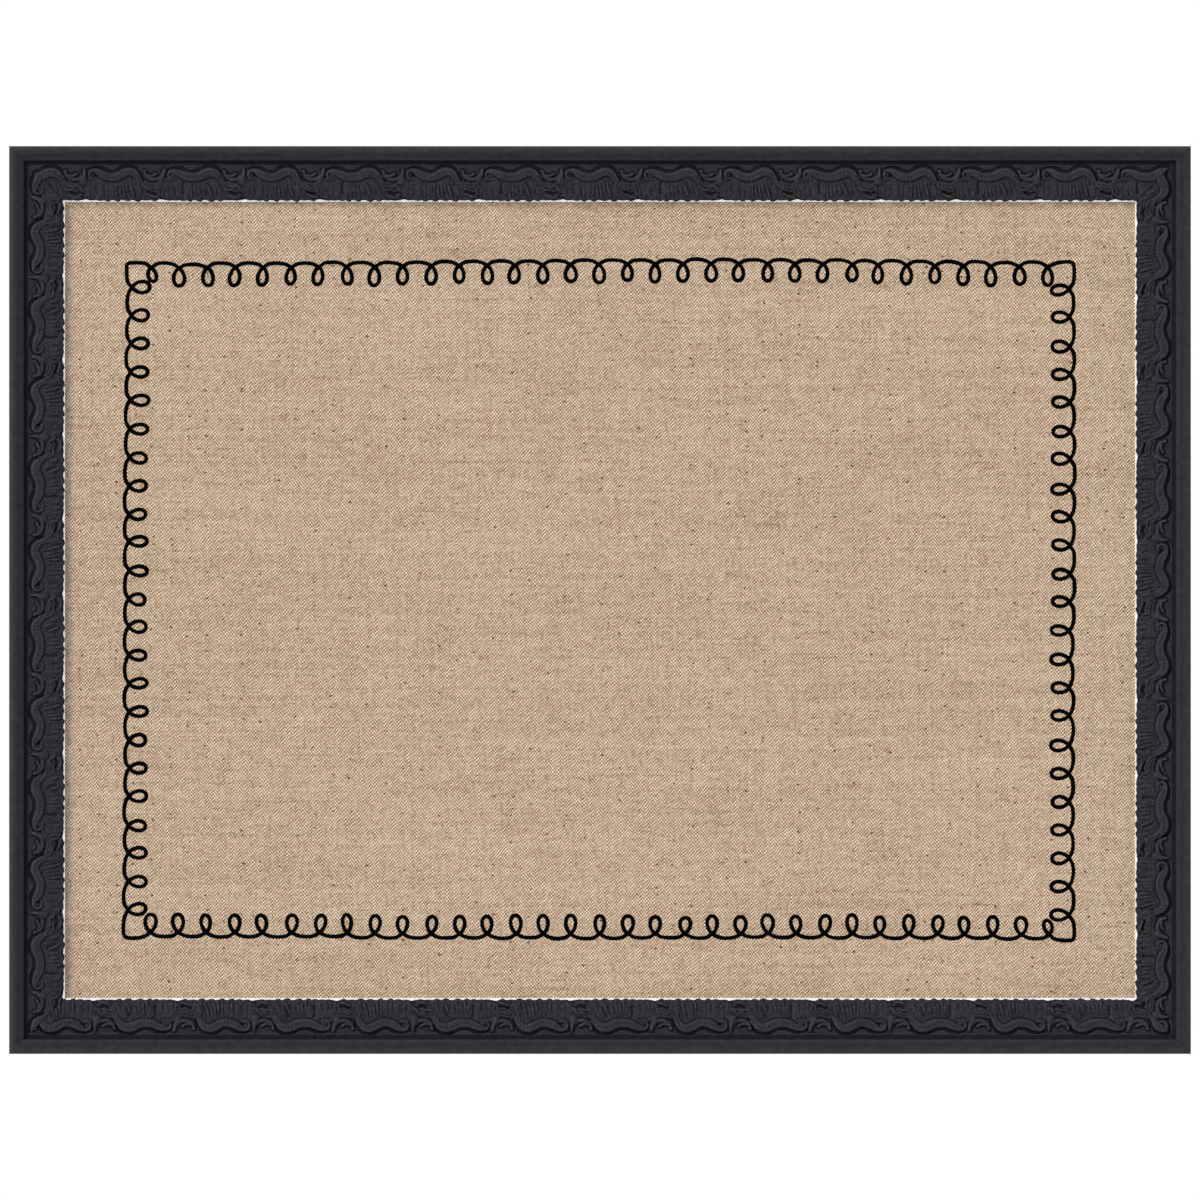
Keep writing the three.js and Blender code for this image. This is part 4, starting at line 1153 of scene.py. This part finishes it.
def screw_profile(tip, seat):
    """The screw's outline as (radius, y), from its tip to the top of its head."""
    profile = [(0.1 * MM, tip), (SCREW_SHANK_RADIUS, tip + SCREW_TIP), (SCREW_SHANK_RADIUS, seat)]
    profile += [(SCREW_HEAD_RADIUS - SCREW_BREAK, seat), (SCREW_HEAD_RADIUS, seat + SCREW_BREAK)]
    for k in range(SCREW_RINGS + 1):
        angle = math.pi / 2 * k / SCREW_RINGS
        radius = max(SCREW_HEAD_RADIUS * math.cos(angle), 0.01 * MM)
        dome = (SCREW_HEAD_HEIGHT - SCREW_RIM) * math.sin(angle)
        profile.append((radius, seat + SCREW_RIM + dome))
    return profile


def recess(across, along):
    """How deep one slot of the cross is, from 0 to 1."""
    inside = np.clip((RECESS_HALF_WIDTH - np.abs(across)) / RECESS_SLOPE, 0, 1)
    return inside * np.maximum(0, 1 - (along / RECESS_HALF_LENGTH) ** 2)


def add_screw(side, metal):
    low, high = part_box(f"{side}_hanger_screw")
    centre = np.array([(low.x + high.x) / 2, 0, (low.z + high.z) / 2])
    seat = high.y - SCREW_HEAD_HEIGHT
    angles = 2 * math.pi * np.arange(SCREW_TURNS) / SCREW_TURNS
    turned = angles + SCREW_TURNED
    rows = []
    for radius, y in screw_profile(low.y, seat):
        x, z = radius * np.cos(turned), radius * np.sin(turned)
        slots = np.maximum(recess(x, z), recess(z, x))
        sunk = RECESS_DEPTH * slots if y > seat + SCREW_RIM else 0 * slots
        ring = [radius * np.cos(angles), y - sunk, radius * np.sin(angles)]
        rows.append(centre + np.column_stack(ring))
    faces = grid_faces(len(rows), SCREW_TURNS, wrap=True)
    last = (len(rows) - 1) * SCREW_TURNS
    faces += [range(SCREW_TURNS), range(last + SCREW_TURNS - 1, last - 1, -1)]
    made = piece(f"{side}_screw", np.vstack(rows), faces, [metal])
    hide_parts(f"{side}_hanger_screw")


def put(material, *names):
    for name in names:
        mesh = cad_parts[name].data
        mesh.materials.clear()
        mesh.materials.append(material)


def soften_edges(width, *names):
    for name in names:
        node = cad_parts[name]
        node.modifiers.new("weld", "WELD").merge_threshold = 0.001 * MM
        bevel = node.modifiers.new("bevel", "BEVEL")
        bevel.width = width
        bevel.segments = 2
        bevel.limit_method = "ANGLE"
        bevel.angle_limit = math.radians(40)


def nodes_named(start):
    return [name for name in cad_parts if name.startswith(start)]


# The photograph is taken as 1200 pixels square, with the board in its middle.
PHOTO_PIXELS = 1200
PIXELS_PER_METRE = 1797.6
CAMERA_DISTANCE = 2.5


def add_camera():
    """Square on to the board, without perspective."""
    data = bpy.data.cameras.new("camera")
    data.type = "ORTHO"
    data.ortho_scale = PHOTO_PIXELS / PIXELS_PER_METRE
    camera = placed("camera", data)
    camera.location = (0, -CAMERA_DISTANCE, CENTRE_Z)
    camera.rotation_euler = (math.pi / 2, 0, 0)
    bpy.context.scene.camera = camera


def sun(name, direction, share, spread_degrees):
    """A soft lamp that shines along direction, with share of the light on a face turned to it."""
    data = bpy.data.lights.new(name, "SUN")
    data.energy = share * math.pi
    data.angle = math.radians(spread_degrees)
    lamp = placed(name, data)
    lamp.rotation_mode = "QUATERNION"
    lamp.rotation_quaternion = Vector(direction).to_track_quat("-Z", "Y")


WORLD_FILL = 0.3  # the world's light on the board, as a share of how bright it looks itself


def add_world():
    world = bpy.data.worlds.new("studio")
    bpy.context.scene.world = world
    n = Nodes(world)
    rays = n.add("ShaderNodeLightPath").outputs
    seen = n.maths("MAXIMUM", rays["Is Camera Ray"], rays["Is Glossy Ray"])
    seen = n.maths("MAXIMUM", seen, rays["Is Transmission Ray"])
    background = n.tree.nodes["Background"].inputs
    n.feed(background["Strength"], n.spread(seen, 0, 1, WORLD_FILL, 1))
    n.feed(background["Color"], (1, 1, 1, 1))


FLOOR_HALF = 6.0
FLOOR_DROP = 0.25


def add_floor():
    n = material_nodes("floor_paper")
    cloud = n.noise(3, 2, 0.5)
    n.set(Base_Color=n.ramp(cloud, (0.3, triple(0.86)), (0.7, triple(0.89))), Roughness=0.9)
    level = bottom_low.z - FLOOR_DROP
    corners = [(-1, -1), (1, -1), (1, 1), (-1, 1)]
    mesh = bpy.data.meshes.new("floor")
    points = [(x * FLOOR_HALF, y * FLOOR_HALF, level) for x, y in corners]
    mesh.from_pydata(points, [], [(0, 1, 2, 3)])
    mesh.materials.append(n.owner)
    placed("floor", mesh)


def main():
    add_camera()
    cloth = linen_cloth()
    plated = steel("nickel_plate", (0.43, 0.415, 0.39), 0.3, (1, 1, 0.1))
    zinc = steel("zinc_plate", (0.24, 0.25, 0.26), 0.42, (1, 0.1, 1))
    blued = steel("blued_steel", (0.095, 0.1, 0.115), 0.36, (1, 0.1, 1))
    add_carving(moulding_paint(), raw_wood())
    add_cloth(cloth)
    add_border(printed_ink())
    put(slip_paint(), *nodes_named("slip_"))
    put(hardboard(), "hardboard_back")
    put(cork(), "cork_sheet")
    put(zinc, *nodes_named("staple_"), *nodes_named("v_nail_"))
    put(blued, *nodes_named("framers_point_"))
    put(plated, *[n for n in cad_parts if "hanger" in n])
    put(bumper_gel(), "left_bumper", "right_bumper")
    soften_edges(0.15 * MM, "left_hanger_strap", "right_hanger_strap")
    soften_edges(0.1 * MM, *nodes_named("framers_point_"))
    for side in ("left", "right"):
        add_screw(side, plated)
    sun("key", (0.88, 1, -0.75), 0.85, 33)
    sun("front_fill", (-0.1, 1, -0.05), 0.14, 60)
    sun("back_fill", (-0.4, -1, -0.45), 0.55, 60)
    add_world()
    add_floor()
    bpy.context.scene.view_settings.view_transform = "Standard"


main()
